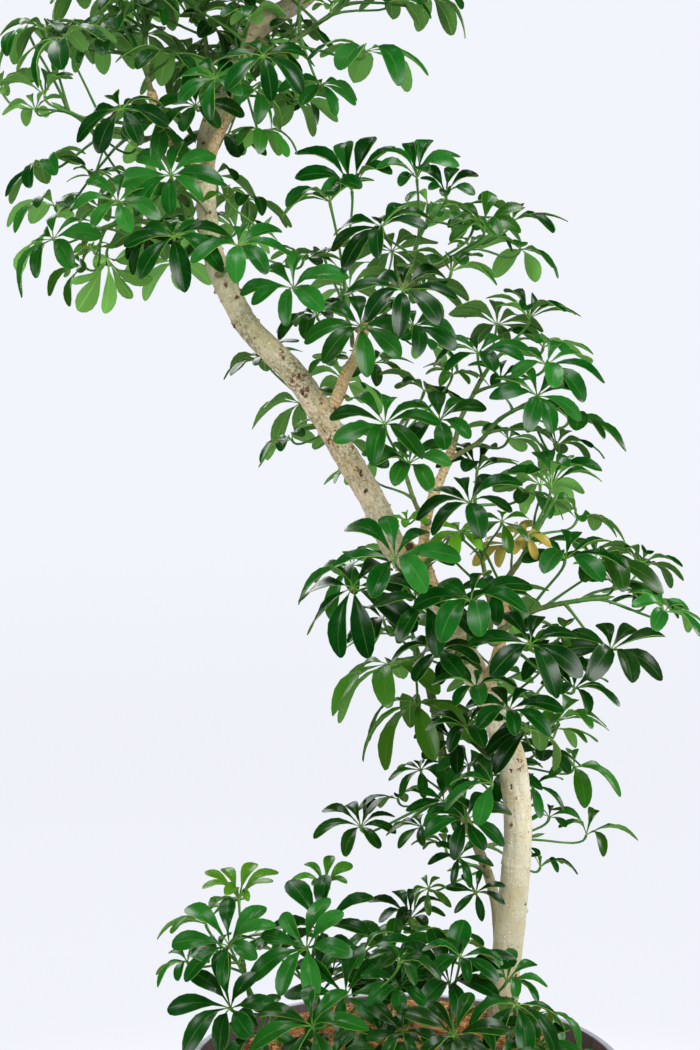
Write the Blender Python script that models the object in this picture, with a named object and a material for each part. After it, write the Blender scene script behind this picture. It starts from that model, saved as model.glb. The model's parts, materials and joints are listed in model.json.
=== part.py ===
"""Potted compacta dwarf umbrella tree, in metres, +Z up, its origin in the middle of the pot's base.

Stems and leaves stand where the photograph shows them. A place is written as the pixel across and down where
it shows, and its depth in millimetres behind the pot's axis; the viewpoint turns that into metres.
"""

import itertools
import math
import random
from collections import namedtuple

import bmesh
import bpy
import numpy as np
from mathutils import Vector
from mathutils.bvhtree import BVHTree

# Driving dimensions of what holds the plant
POT_HEIGHT = 0.330
POT_TOP_RADIUS = 0.185
POT_BASE_RADIUS = 0.140
POT_WALL = 0.0065
POT_FLOOR = 0.014
POT_EDGE = 0.002
POT_SIDES = 36
NURSERY_HEIGHT = 0.300
NURSERY_TOP_RADIUS = 0.142
NURSERY_BASE_RADIUS = 0.118
NURSERY_WALL = 0.0025
NURSERY_SIDES = 20
SOIL_BELOW_RIM = 0.015
MULCH_CROWN = 0.360
MULCH_SKIRT = 0.014
MULCH_OVERHANG = 0.008
MULCH_BUMP = 0.0025
CLEARANCE = 0.0003
HOLE_CLEARANCE = 0.0005
HOLE_SIDES = 6
HOLE_OVERRUN = 0.030
NURSERY_FLOOR = POT_FLOOR + CLEARANCE
NURSERY_RIM = NURSERY_FLOOR + NURSERY_HEIGHT
SOIL_TOP = NURSERY_RIM - SOIL_BELOW_RIM

# Driving dimensions of the stems
TRUNK_SIDES = 8
BRANCH_SIDES = 6
GREEN_SIDES = 4
TRUNK_STEP = 0.042
BRANCH_STEP = 0.026
GREEN_STEP = 0.027
CURVE_STEP = 0.008
TIP_GIRTH = 0.66
SEAT_GAP = 0.0004
SEAT_RISE = 0.007
FOOT_DEPTH = 0.012
FOOT_RISE = 0.006

# Driving dimensions of a leaf: a round of leaflets on one stalk
PETIOLE_RADIUS = 0.0015
PETIOLE_LONGEST = 0.088
PETIOLE_SHORTEST = 0.034
PETIOLE_PER_REACH = 1.2
PETIOLE_SAG = 0.45
STRAIGHT_STALK = math.radians(48)
ROOT_SPACING = 0.006
BLADE_THICKNESS = 0.0024
BLADE_WIDEST = 0.58
BLADE_WIDTH = 0.175
BLADE_ROOM = 0.78
BLADE_ARCH = 0.12
BLADE_SAG = 0.10
SHORTEST_BLADE = 0.88
BLADE_SWING = 0.07
BLADE_TILT = math.radians(7)
HUB_REACH = 0.07
HUB_RISE = 0.0004
SMALL_REACH = 0.036
LARGE_REACH = 0.055
FAR_BEHIND = 64
AIR = 0.0006

# The viewpoint that the pixel coordinates below belong to
EYE = Vector((-0.0468, -1.300, 0.785))
FOCAL_PIXELS = 1528.0
MIDDLE_ACROSS = 350.0
MIDDLE_DOWN = 525.0

# Each material's colour and roughness
Finish = namedtuple("Finish", "name colour roughness")
FIBRE_CEMENT = Finish("fibre_cement", (0.085, 0.078, 0.082), 0.85)
NURSERY_PLASTIC = Finish("nursery_plastic", (0.020, 0.020, 0.020), 0.50)
POTTING_SOIL = Finish("potting_soil", (0.035, 0.022, 0.014), 0.95)
COCONUT_FIBRE = Finish("coconut_fibre", (0.400, 0.200, 0.080), 0.95)
PALE_BARK = Finish("pale_bark", (0.500, 0.430, 0.300), 0.75)
BROWN_BARK = Finish("brown_bark", (0.200, 0.130, 0.070), 0.80)
LEAF_GREEN = Finish("leaf_green", (0.020, 0.130, 0.018), 0.35)
YOUNG_LEAF_GREEN = Finish("young_leaf_green", (0.190, 0.330, 0.040), 0.40)
SHARP_EDGE = math.radians(30)

# Where the trunk and the second stem end in the soil: pixel across, depth in mm, height in metres
TRUNK_FOOT = (502, 40, 0.232)
SECOND_FOOT = (500, 85, 0.250)

# Routes of wood: across, down, depth in mm, radius in mm
TRUNK_ROUTE = [
    (503, 985, 40, 13.4), (507, 955, 39, 13.2), (511, 920, 37, 13.2), (516, 868, 34, 12.8),
    (518, 822, 32, 12.7), (514, 772, 30, 12.6), (506, 743, 28, 12.4), (489, 700, 26, 12.2),
    (460, 645, 23, 11.8), (443, 612, 20, 11.6), (415, 572, 17, 11.4), (392, 543, 15, 11.3),
    (375, 505, 12, 11.1), (350, 462, 10, 11.0), (332, 432, 8, 11.0), (313, 400, 6, 11.2),
    (290, 370, 5, 11.0), (254, 334, 4, 10.6), (236, 306, 3, 10.0), (216, 262, 0, 9.4),
    (208, 220, 0, 8.8), (206, 192, 2, 8.6), (204, 160, 6, 8.5), (211, 124, 10, 8.5),
    (229, 80, 16, 8.8), (257, 30, 20, 9.0), (302, -2, 20, 8.8), (330, -34, 16, 8.2),
    (348, -72, 10, 7.4), (354, -112, 5, 6.4),
]
BRANCH_ROUTES = {
    "branch_a": [
        (207, 176, 3, 6.0), (212, 150, -16, 5.2), (226, 120, -20, 5.0), (235, 103, -18, 4.8),
        (238, 80, -15, 4.4),
    ],
    "branch_b": [
        (205, 185, 2, 6.0), (192, 160, -10, 5.4), (172, 142, -12, 5.2), (160, 120, -8, 5.0),
        (151, 92, -4, 4.4),
    ],
    "branch_c": [
        (322, 424, 8, 6.5), (337, 398, 4, 5.8), (346, 374, 1, 5.4), (356, 357, 0, 5.2),
        (362, 338, 0, 4.8), (367, 320, -1, 4.4), (375, 303, -3, 4.2), (388, 292, -5, 4.0),
    ],
    "branch_e": [
        (446, 615, 20, 6.0), (436, 592, 0, 5.2), (425, 560, -4, 5.0), (425, 530, -6, 4.8),
        (432, 500, -8, 4.5), (444, 470, -10, 4.2), (453, 446, -10, 4.0),
    ],
    "branch_f": [
        (486, 694, 25, 6.5), (496, 660, 0, 5.4), (502, 634, -8, 5.0), (505, 606, -8, 4.8),
        (506, 588, -8, 4.6),
    ],
    "cut_stub": [
        (400, 556, 15, 6.0), (408, 548, -1, 5.4), (411, 545, -6, 5.2),
    ],
}
SECOND_ROUTE = [
    (500, 985, 86, 5.2), (499, 950, 88, 5.2), (496, 905, 88, 5.1), (486, 868, 86, 5.0), (471, 832, 84, 4.9),
    (456, 798, 81, 4.8), (444, 762, 78, 4.6), (435, 712, 76, 4.4), (427, 676, 74, 4.2),
]

# Leafy shoots. A shoot with a foot stands in the soil at this x and y in mm; the others sit on the bark.
# A leaf has its hub's across, down and depth in mm, its reach in pixels, the way it faces (0 to the viewer,
# 90 to the right), its rise (90 is up) and how far its leaflets are cupped up, in degrees.
Leaf = namedtuple("Leaf", "across down depth reach facing rise cup")
Shoot = namedtuple("Shoot", "name foot girth route leaves young", defaults=(False,))
SHOOTS = [
    Shoot(
        "crown_far_left", None, 3.2,
        [
            (163, 130, -10), (140, 138, -16), (112, 130, -18), (85, 120, -18), (62, 108, -16),
        ],
        [
            (45, 97, -30, 54, -40, 78, 34), (47, 165, -12, 58, -60, 52, -15),
            (36, 111, 18, 36, -90, 60, 20), (122, 110, -66, 56, -20, 32, -10),
            (28, 30, 0, 54, -60, 68, -38), (4, 95, 30, 48, -90, 60, 18), (91, 177, -34, 28, 0, 65, 10),
            (55, 207, 42, 58, -60, 72, -38),
        ],
    ),
    Shoot(
        "crown_left_top", None, 3.2,
        [
            (151, 90, -4), (146, 62, -2), (145, 30, 0), (143, -2, 0), (142, -28, 2),
        ],
        [
            (122, 21, -26, 58, -30, 52, 8), (148, 16, 28, 52, 0, 82, 34),
            (168, 55, -34, 62, 20, 76, -35), (103, 42, -14, 56, -50, 72, -38),
            (100, 26, 54, 55, -60, 72, -20), (125, -4, 72, 50, 180, 60, 0),
            (112, -48, -20, 54, -60, 62, 5), (160, -62, -28, 56, 20, 58, -8),
        ],
    ),
    Shoot(
        "crown_mid_top", None, 3.0,
        [
            (213, 116, 4), (209, 84, 0), (206, 44, 6), (200, 2, 6), (196, -38, 4), (192, -72, 0),
        ],
        [
            (178, -3, 34, 52, -60, 70, -42), (183, 68, 30, 48, -120, 58, -10),
            (190, 58, 62, 48, 180, 50, -10), (222, -40, -34, 58, 30, 56, -10),
            (205, -96, 24, 60, 100, 70, 0), (170, -112, -30, 54, -40, 72, 18),
            (232, -92, 62, 58, 150, 60, -15),
        ],
    ),
    Shoot(
        "crown_centre", None, 3.0,
        [
            (238, 79, -15), (239, 64, -18), (243, 44, -22), (248, 24, -24),
        ],
        [
            (216, 79, -84, 50, -14, 14, -6), (263, 57, -88, 54, 18, 18, -6),
            (196, 107, -52, 54, -10, 30, -28), (249, 18, -56, 46, 10, 76, 15),
            (262, 131, -18, 46, 30, 66, -35), (238, 22, 46, 48, 170, 50, -15),
        ],
    ),
    Shoot(
        "crown_behind", None, 2.9,
        [
            (222, 100, 30), (232, 96, 48), (244, 86, 62), (256, 76, 72),
        ],
        [
            (224, 136, 58, 54, 0, 66, -28), (286, 92, 78, 54, 60, 62, -18),
            (205, 66, 96, 54, 180, 52, -12), (262, 40, 104, 54, 160, 56, -8),
        ],
    ),
    Shoot(
        "crown_right", None, 3.2,
        [
            (262, 42, 8), (274, 50, -6), (292, 42, -12), (320, 22, -12), (343, 5, -12), (360, -20, -12),
        ],
        [
            (322, 85, -14, 50, 10, 40, -25), (366, 52, -18, 66, 40, 72, -30),
            (390, 2, 0, 54, 60, 70, -8), (331, 10, -52, 34, 0, 68, 18), (430, -3, 28, 54, 90, 70, -34),
            (372, -46, -46, 60, 0, 48, 0), (402, -62, 22, 58, 80, 60, 0),
        ],
    ),
    Shoot(
        "summit_left", None, 3.0,
        [
            (328, -32, 10), (310, -52, 0), (296, -76, -4), (288, -104, -4),
        ],
        [
            (252, -76, -34, 60, -40, 54, -10), (262, -128, 22, 58, -90, 60, -10),
            (302, -146, -44, 56, 0, 58, 8), (278, -34, -56, 60, -10, 42, -20),
            (276, -92, 74, 60, 180, 54, -15),
        ],
    ),
    Shoot(
        "summit", None, 3.2,
        [
            (354, -114, 5), (355, -128, 4), (353, -146, 3), (350, -168, 2),
        ],
        [
            (306, -104, -36, 58, -50, 54, -15), (398, -112, -34, 62, 40, 54, -15),
            (342, -128, -84, 60, 0, 32, -8), (362, -204, -12, 58, 20, 78, 28),
            (310, -182, 24, 58, -90, 64, -5), (404, -168, 34, 60, 100, 58, -10),
            (352, -118, 88, 60, 180, 48, -15), (336, -214, 44, 46, 180, 76, 30),
        ],
    ),
    Shoot(
        "left_mid", None, 3.2,
        [
            (206, 240, -6), (184, 230, -18), (155, 222, -22), (122, 222, -22), (98, 230, -20),
        ],
        [
            (171, 176, -52, 58, -8, 10, 0), (118, 203, -68, 50, 0, 18, -10),
            (54, 240, -30, 64, -40, 30, -30), (107, 257, 32, 64, 0, 58, -42),
            (84, 267, 60, 52, -60, 12, -16), (174, 238, -72, 62, 0, 28, -28),
            (148, 240, -26, 42, -30, 25, 0), (94, 251, -50, 26, -20, 58, 10),
        ],
    ),
    Shoot(
        "right_mid", None, 3.0,
        [
            (222, 274, -6), (238, 262, -18), (251, 242, -24), (264, 226, -24),
        ],
        [
            (238, 247, -78, 64, 0, 44, -14), (248, 200, 18, 54, 60, 78, -30),
            (227, 198, -40, 28, -20, 58, 18), (303, 262, 30, 46, 60, 68, 0),
        ],
    ),
    Shoot(
        "trunk_behind_high", None, 2.9,
        [
            (214, 250, 14), (206, 240, 34), (196, 226, 54), (188, 210, 72),
        ],
        [
            (150, 196, 84, 56, -120, 58, -14), (214, 176, 92, 56, 150, 56, -12),
            (176, 262, 96, 56, -150, 50, -18), (236, 232, 84, 54, 120, 58, -14),
        ],
    ),
    Shoot(
        "mid_left", None, 2.8,
        [
            (359, 347, 8), (352, 334, 14), (347, 317, 14), (343, 298, 12),
        ],
        [
            (352, 192, 0, 70, 0, 68, 38), (330, 203, -26, 62, -30, 58, 18),
            (294, 289, -58, 62, -20, 28, -10), (317, 317, 26, 50, -40, 58, -35),
            (329, 362, -18, 28, -40, 58, 10), (324, 256, 54, 48, -60, 68, -10),
        ],
    ),
    Shoot(
        "mid_up", None, 3.0,
        [
            (376, 302, 4), (392, 288, 12), (409, 272, 8), (415, 250, 2), (422, 231, -4), (434, 212, -4),
        ],
        [
            (446, 196, -22, 44, 10, 72, 38), (417, 180, 8, 56, 10, 78, 38),
            (382, 228, -52, 64, -30, 44, -15), (428, 205, 50, 54, 150, 58, -10),
            (464, 222, 30, 50, 80, 68, -10),
        ],
    ),
    Shoot(
        "mid_front", None, 2.9,
        [
            (372, 310, -6), (378, 304, -26), (390, 300, -44),
        ],
        [
            (361, 327, -88, 58, -5, 18, -6), (403, 291, -96, 64, 0, 34, -6),
            (413, 327, -64, 52, 20, 38, -28),
        ],
    ),
    Shoot(
        "mid_behind", None, 2.9,
        [
            (364, 332, 8), (370, 326, 30), (380, 318, 50), (390, 306, 66),
        ],
        [
            (374, 364, 60, 46, 0, 58, -30), (350, 290, 98, 56, -130, 54, -14),
            (424, 290, 92, 56, 130, 56, -14), (392, 252, 104, 56, 180, 52, -10),
            (420, 342, 74, 50, 90, 56, -24),
        ],
    ),
    Shoot(
        "mid_right", None, 3.6,
        [
            (389, 291, -5), (408, 284, -12), (432, 270, -18), (459, 255, -22), (484, 240, -24),
            (502, 229, -24),
        ],
        [
            (484, 231, -60, 54, -10, 66, 32), (512, 222, -12, 64, 50, 68, 8),
            (451, 273, -58, 54, 20, 68, 18), (469, 246, 2, 26, 0, 68, 10),
            (520, 250, 36, 56, 90, 62, -20), (474, 226, 50, 54, 120, 60, -10),
        ],
    ),
    Shoot(
        "upright_c", None, 3.0,
        [
            (453, 445, -10), (461, 418, -10), (474, 393, -8), (482, 378, -8), (494, 361, -10),
            (508, 348, -12),
        ],
        [
            (529, 320, -16, 60, 10, 72, 34), (478, 354, -58, 54, 0, 48, 14),
            (546, 366, -52, 68, 30, 48, 0), (543, 348, 36, 54, 60, 72, 18),
            (440, 421, -66, 56, -10, 34, -15), (497, 326, 46, 54, 150, 58, -10),
        ],
    ),
    Shoot(
        "upright_d", None, 3.2,
        [
            (447, 462, -13), (464, 451, -22), (481, 440, -26), (500, 419, -30), (530, 402, -34),
        ],
        [
            (537, 397, -72, 56, 15, 34, -20), (569, 421, -14, 64, 60, 58, -15),
            (508, 440, 34, 54, 90, 58, -20), (556, 446, 44, 54, 90, 60, -15),
            (500, 380, 6, 44, 30, 60, 10),
        ],
    ),
    Shoot(
        "mid_low_left", None, 2.9,
        [
            (427, 522, -12), (416, 505, -26), (408, 482, -34), (402, 458, -38), (399, 436, -40),
        ],
        [
            (385, 425, -84, 64, -8, 38, -20), (409, 465, -84, 58, 0, 42, -18),
            (407, 522, -40, 28, -20, 60, 10), (424, 392, 16, 54, 100, 68, -10),
            (368, 470, 24, 54, -100, 58, -20), (452, 376, -30, 40, 20, 60, 5),
        ],
    ),
    Shoot(
        "mid_left_behind", None, 2.9,
        [
            (338, 436, 20), (330, 428, 40), (318, 416, 58), (306, 400, 74),
        ],
        [
            (300, 404, 96, 54, -150, 56, -18), (266, 362, 60, 50, -90, 58, -40),
            (344, 384, 98, 56, 120, 56, -14), (292, 440, 62, 50, -90, 56, -34),
            (340, 440, 100, 52, 150, 52, -20),
        ],
    ),
    Shoot(
        "centre", None, 3.0,
        [
            (497, 642, -10), (491, 618, -26), (487, 586, -32), (481, 552, -34), (477, 522, -34),
            (475, 500, -34),
        ],
        [
            (470, 504, -84, 64, -10, 48, -15), (477, 472, -22, 62, 20, 72, 30),
            (502, 522, -74, 36, 10, 38, -10), (460, 532, -66, 40, -10, 48, -10),
            (522, 494, 24, 54, 90, 58, -16), (446, 548, 20, 46, -100, 58, -16),
        ],
    ),
    Shoot(
        "fork_f", None, 3.4,
        [
            (506, 586, -8), (512, 572, -10), (523, 556, -12), (536, 532, -12), (546, 514, -12),
            (553, 502, -12),
        ],
        [
            (551, 488, -28, 64, 10, 72, 28), (527, 536, -60, 28, 0, 30, -10),
            (577, 520, 34, 56, 90, 60, -14), (540, 486, 52, 54, 180, 56, -8),
            (510, 545, 44, 50, -150, 56, -14),
        ],
    ),
    Shoot(
        "right_fan", None, 3.4,
        [
            (502, 630, -14), (520, 617, -26), (542, 608, -32), (564, 603, -36), (584, 600, -38),
            (602, 598, -38),
        ],
        [
            (565, 560, -46, 64, 0, 62, 5), (597, 562, -12, 70, 40, 68, 5),
            (614, 586, 4, 54, 60, 68, 10), (645, 604, 10, 54, 60, 68, 10),
            (664, 613, -34, 58, 60, 58, -15), (610, 651, -70, 64, 15, 34, -10),
            (640, 566, 46, 56, 110, 62, 0),
        ],
    ),
    Shoot(
        "front_fan", None, 3.0,
        [
            (502, 652, -12), (508, 650, -34), (516, 648, -50),
        ],
        [
            (530, 645, -104, 68, 0, 36, -6), (574, 690, -46, 52, 40, 48, -22),
            (560, 636, -50, 50, 60, 60, 5),
        ],
    ),
    Shoot(
        "elbow_left", None, 2.9,
        [
            (420, 566, -12), (412, 578, -26), (403, 590, -36), (394, 600, -40),
        ],
        [
            (395, 560, -82, 64, -5, 46, 5), (353, 588, -46, 62, -50, 44, -20),
            (352, 566, 22, 54, -90, 58, -10), (424, 604, -78, 48, 10, 44, -12),
        ],
    ),
    Shoot(
        "trunk_front", None, 3.0,
        [
            (468, 662, 0), (468, 652, -22), (468, 640, -38), (469, 624, -48),
        ],
        [
            (471, 602, -94, 70, -15, 46, -10), (439, 652, -58, 52, -30, 58, -42),
            (449, 660, -14, 44, 0, 58, -44), (496, 596, -74, 50, 20, 50, -8),
        ],
    ),
    Shoot(
        "elbow_low", None, 3.0,
        [
            (494, 714, 6), (498, 709, -16), (502, 704, -34), (507, 700, -46),
        ],
        [
            (509, 711, -94, 56, 0, 28, -12), (530, 730, -50, 56, 20, 48, -38),
            (476, 688, -62, 48, -20, 58, -10), (544, 664, -24, 58, 30, 60, -34),
            (468, 730, -58, 52, -30, 40, -20),
        ],
    ),
    Shoot(
        "elbow_behind", None, 2.9,
        [
            (500, 730, 44), (512, 722, 62), (524, 712, 78), (534, 700, 90),
        ],
        [
            (558, 722, 108, 62, 60, 58, -20), (500, 690, 122, 56, -150, 54, -14),
            (556, 664, 104, 56, 130, 58, -12), (470, 640, 84, 54, -120, 58, -16),
            (540, 756, 92, 50, 60, 50, -30),
        ],
    ),
    Shoot(
        "second_top", None, 3.0,
        [
            (427, 675, 74), (422, 662, 74), (416, 646, 72), (411, 628, 70),
        ],
        [
            (388, 665, 58, 66, -60, 58, -24), (416, 704, 40, 66, -60, 54, -30),
            (398, 636, 112, 54, -120, 58, -18), (436, 628, 112, 52, 120, 60, -14),
            (384, 622, 66, 48, -60, 66, 0),
        ],
    ),
    Shoot(
        "second_left", None, 2.9,
        [
            (449, 784, 76), (441, 794, 62), (431, 804, 54), (420, 812, 50),
        ],
        [
            (421, 771, 50, 46, -30, 50, -30), (422, 828, 30, 48, -60, 48, -30),
            (361, 828, 54, 66, -20, 16, 0), (444, 802, 14, 46, 0, 14, -4),
            (398, 800, 92, 48, -120, 58, -20),
        ],
    ),
    Shoot(
        "second_front", None, 2.9,
        [
            (459, 806, 78), (462, 806, 62), (464, 808, 48), (465, 811, 36),
        ],
        [
            (466, 821, -6, 50, 0, 18, -4), (469, 767, 22, 50, 10, 48, 10),
            (454, 742, 34, 48, -10, 44, -28), (492, 784, -12, 58, -10, 30, -12),
        ],
    ),
    Shoot(
        "second_low", None, 2.8,
        [
            (488, 874, 80), (480, 868, 66), (469, 865, 56), (457, 868, 50),
        ],
        [
            (459, 858, 12, 44, 0, 14, -4), (476, 893, 6, 42, 0, 14, -4),
            (429, 889, 48, 36, -40, 30, -20), (446, 850, 94, 46, -150, 52, -16),
        ],
    ),
    Shoot(
        "second_right", None, 2.9,
        [
            (479, 850, 90), (496, 844, 106), (516, 840, 114), (534, 836, 118),
        ],
        [
            (586, 836, 108, 64, 60, 58, -8), (549, 818, 104, 42, 30, 58, -34),
            (533, 788, 98, 52, 0, 56, -42), (540, 868, 124, 48, 90, 56, -20),
        ],
    ),
    Shoot(
        "second_right_high", None, 2.9,
        [
            (450, 782, 84), (470, 774, 104), (500, 766, 114), (530, 764, 120),
        ],
        [
            (574, 768, 112, 66, 40, 48, 0), (505, 770, 84, 58, -20, 40, -20),
            (506, 800, 130, 52, 180, 48, -20), (556, 730, 142, 54, 120, 56, -10),
        ],
    ),
    Shoot(
        "foot_left", (-108, -14), 2.7,
        [
            (254, 1008, -16), (247, 984, -16), (243, 960, -14),
        ],
        [
            (231, 1009, -52, 68, -15, 42, 10), (230, 947, -30, 64, -30, 58, 10),
            (239, 901, 0, 50, 0, 78, 34), (206, 925, 34, 54, -100, 58, -8),
            (262, 1034, -92, 58, -20, 44, -14),
        ],
        young=True,
    ),
    Shoot(
        "foot_back_left", (-74, 42), 2.7,
        [
            (303, 990, 32), (311, 962, 24), (316, 945, 18),
        ],
        [
            (307, 950, -36, 64, -30, 42, 5), (322, 934, -14, 64, 0, 72, 34),
            (325, 890, 46, 42, 0, 78, 34), (282, 958, 66, 54, -130, 56, -12),
        ],
        young=True,
    ),
    Shoot(
        "foot_front_left", (-58, -52), 2.7,
        [
            (336, 1046, -62), (340, 1028, -66), (342, 1012, -68),
        ],
        [
            (346, 997, -92, 66, -20, 48, -10), (313, 1027, -112, 72, -30, 44, -15),
            (380, 1046, -104, 56, 20, 50, -10), (330, 1066, -128, 60, -10, 44, -14),
        ],
        young=True,
    ),
    Shoot(
        "foot_middle", (-16, 2), 2.8,
        [
            (384, 1012, 4), (388, 992, 2), (391, 974, 0),
        ],
        [
            (392, 968, -18, 64, -10, 68, 24), (401, 988, -66, 52, 0, 72, 28),
            (366, 986, 34, 50, -120, 62, 8), (420, 962, 36, 50, 140, 64, 8),
        ],
        young=True,
    ),
    Shoot(
        "foot_front_right", (36, -30), 2.7,
        [
            (450, 1034, -34), (452, 1012, -38), (452, 1000, -40),
        ],
        [
            (450, 986, -48, 72, 0, 62, 18), (455, 1037, -104, 64, 0, 48, -5),
            (404, 1034, -112, 48, -20, 54, 0), (432, 1072, -132, 60, 0, 42, -14),
        ],
        young=True,
    ),
    Shoot(
        "foot_right", (84, -38), 2.7,
        [
            (508, 1044, -42), (513, 1024, -46), (515, 1012, -46),
        ],
        [
            (516, 1006, -76, 60, 30, 56, -10), (578, 1052, -60, 54, 60, 56, 8),
            (536, 1048, -96, 58, 30, 48, -15), (496, 1066, -126, 60, 0, 44, -18),
            (548, 1012, -8, 52, 90, 58, -12),
        ],
        young=True,
    ),
    Shoot(
        "foot_behind", (30, 92), 2.7,
        [
            (426, 985, 98), (423, 962, 100), (421, 946, 102),
        ],
        [
            (388, 944, 112, 56, -120, 60, 0), (446, 950, 128, 56, 150, 58, -4),
            (410, 920, 96, 50, 0, 74, 24),
        ],
        young=True,
    ),
]

# Small changes to a leaf's depth, cup, size and root, tried in turn where it would touch what already stands
DEPTH_CHANGES = (0, 8, -8, 16, -16, 26, -26, 38, -38, 52, -52)
CUP_CHANGES = (0, 12, -12)
SIZE_CHANGES = (1.0, 0.9, 0.8)
ROOT_CHOICES = (0, 1, 2)
COST_PER_MILLIMETRE = 0.125
COST_PER_DEGREE = 0.125
COST_PER_SIZE = 22.0
COST_PER_ROOT = 0.7


def spot(across, down, depth):
    """The place, in metres, that shows at this pixel, `depth` millimetres behind the pot's axis."""
    away = -EYE.y + depth / 1000
    return Vector((
        EYE.x + (across - MIDDLE_ACROSS) / FOCAL_PIXELS * away,
        depth / 1000,
        EYE.z - (down - MIDDLE_DOWN) / FOCAL_PIXELS * away,
    ))


def reach_metres(pixels, depth):
    return pixels / FOCAL_PIXELS * (-EYE.y + depth / 1000)


def smooth(points, values):
    """Points and values along a Catmull-Rom curve through `points`, about CURVE_STEP apart."""
    padded = [points[0] * 2 - points[1], *points, points[-1] * 2 - points[-2]]
    places, levels = [points[0]], [values[0]]
    for index in range(len(points) - 1):
        before, start, end, after = padded[index:index + 4]
        pieces = max(1, round((end - start).length / CURVE_STEP))
        for piece in range(1, pieces + 1):
            t = piece / pieces
            places.append(0.5 * (
                2 * start + (end - before) * t + (2 * before - 5 * start + 4 * end - after) * t**2
                + (3 * start - before - 3 * end + after) * t**3
            ))
            levels.append(values[index] + (values[index + 1] - values[index]) * t)
    return places, levels


def thin_out(places, levels, step):
    """Drops the points that lie closer than `step` to the last one kept."""
    kept = [0]
    for index in range(1, len(places) - 1):
        if (places[index] - places[kept[-1]]).length >= step:
            kept.append(index)
    if (places[-1] - places[kept[-1]]).length < step / 2 and len(kept) > 1:
        kept.pop()
    kept.append(len(places) - 1)
    return [places[k] for k in kept], [levels[k] for k in kept]


def tube(centres, radii, sides):
    """The points and faces of a closed tube round the centres, with a flat cap at each end."""
    points, faces = [], []
    side = (centres[1] - centres[0]).orthogonal().normalized()
    for index, (centre, radius) in enumerate(zip(centres, radii)):
        before = centres[max(index - 1, 0)]
        after = centres[min(index + 1, len(centres) - 1)]
        tangent = (after - before).normalized()
        side = (side - tangent * side.dot(tangent)).normalized()
        other = tangent.cross(side)
        first = len(points)
        for k in range(sides):
            turn = 2 * math.pi * k / sides
            points.append(centre + radius * (math.cos(turn) * side + math.sin(turn) * other))
        if index:
            below = first - sides
            for k in range(sides):
                following = (k + 1) % sides
                faces.append((below + k, below + following, first + following, first + k))
    faces.append(tuple(range(sides))[::-1])
    faces.append(tuple(range(len(points) - sides, len(points))))
    return points, faces


def leaflet_count(reach, depth):
    """Fewer leaflets on a small leaf, and on one far behind the rest."""
    if reach < SMALL_REACH or depth > FAR_BEHIND:
        return 4
    return 6 if reach > LARGE_REACH else 5


def blade_width(reach, cup, count):
    """Half the width of a leaflet, narrowed where the leaflets stand close round a deep cup."""
    room = BLADE_ROOM * BLADE_WIDEST * math.cos(cup) * math.sin(math.pi / count)
    return reach * min(BLADE_WIDTH, room)


def stalk_line(start, up, root):
    """The leaf stalk's points and headings: straight where it leaves the leaf steeply, or else bent once."""
    span = root - start
    if span.angle(-up) < STRAIGHT_STALK:
        return [start, root], [-up, span.normalized()]
    bend = start - up * (PETIOLE_SAG * span.length)
    middle = (start + root) / 4 + bend / 2
    return [start, middle, root], [-up, span.normalized(), (root - bend).normalized()]


def leaf(hub, up, spin, reach, cup, count, root, draw, air=0.0):
    """A leaf's points, the faces of its star of leaflets, the faces of its stalk and the stalk's line.

    Each leaflet is four triangles above and four below that share one sharp outline. The stalk has three
    sides and ends inside the stem. `air` swells the leaf on all sides, to test that it stands clear.
    """
    east = up.orthogonal().normalized()
    north = up.cross(east)
    turns = [spin + 2 * math.pi * (k + draw.uniform(-BLADE_SWING, BLADE_SWING)) / count for k in range(count)]
    reaches = [reach * draw.uniform(SHORTEST_BLADE, 1.0) + air for _ in range(count)]
    tilts = [cup + draw.uniform(-BLADE_TILT, BLADE_TILT) for _ in range(count)]
    points = [hub + up * (HUB_RISE + air)]
    for turn, far, tilt in zip(turns, reaches, tilts):
        out = math.cos(turn) * east + math.sin(turn) * north
        side = math.cos(turn) * north - math.sin(turn) * east
        along = math.cos(tilt) * out + math.sin(tilt) * up
        over = math.cos(tilt) * up - math.sin(tilt) * out
        half = blade_width(far, tilt, count) + air
        notch_turn = turn - math.pi / count
        notch_out = math.cos(notch_turn) * east + math.sin(notch_turn) * north
        belly = hub + along * (BLADE_WIDEST * far) + over * (BLADE_ARCH * far)
        points.append(hub + (math.cos(cup) * notch_out + math.sin(cup) * up) * (HUB_REACH * reach + air))
        points.append(belly - side * half)
        points.append(hub + along * far - Vector((0, 0, BLADE_SAG * far)))
        points.append(belly + side * half)
    stalk = len(points)
    start = hub - up * (BLADE_THICKNESS + air)
    line, headings = stalk_line(start, up, root)
    for place, heading in zip(line, headings):
        turned_by = (-up).rotation_difference(heading)
        for k in range(3):
            turn = spin + 2 * math.pi * k / 3
            offset = math.cos(turn) * east + math.sin(turn) * north
            points.append(place + turned_by @ offset * (PETIOLE_RADIUS + air))
    star, tube_faces = [], []
    for k in range(count):
        notch, first, tip, second = range(4 * k + 1, 4 * k + 5)
        next_notch = 4 * ((k + 1) % count) + 1
        inner = stalk + round(3 * k / count) % 3
        next_inner = stalk + round(3 * (k + 1) / count) % 3
        star += [(0, notch, first), (0, first, tip), (0, tip, second), (0, second, next_notch)]
        star += [(first, notch, inner), (tip, first, inner), (second, tip, inner)]
        star.append((next_notch, second, inner))
        if next_inner != inner:
            star.append((next_inner, next_notch, inner))
    for ring in range(len(line) - 1):
        for k in range(3):
            near = stalk + 3 * ring + k
            near_next = stalk + 3 * ring + (k + 1) % 3
            tube_faces += [(near, near + 3, near_next + 3), (near, near_next + 3, near_next)]
    last = len(points) - 1
    tube_faces.append((last, last - 1, last - 2))
    return points, star, tube_faces, line


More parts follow.
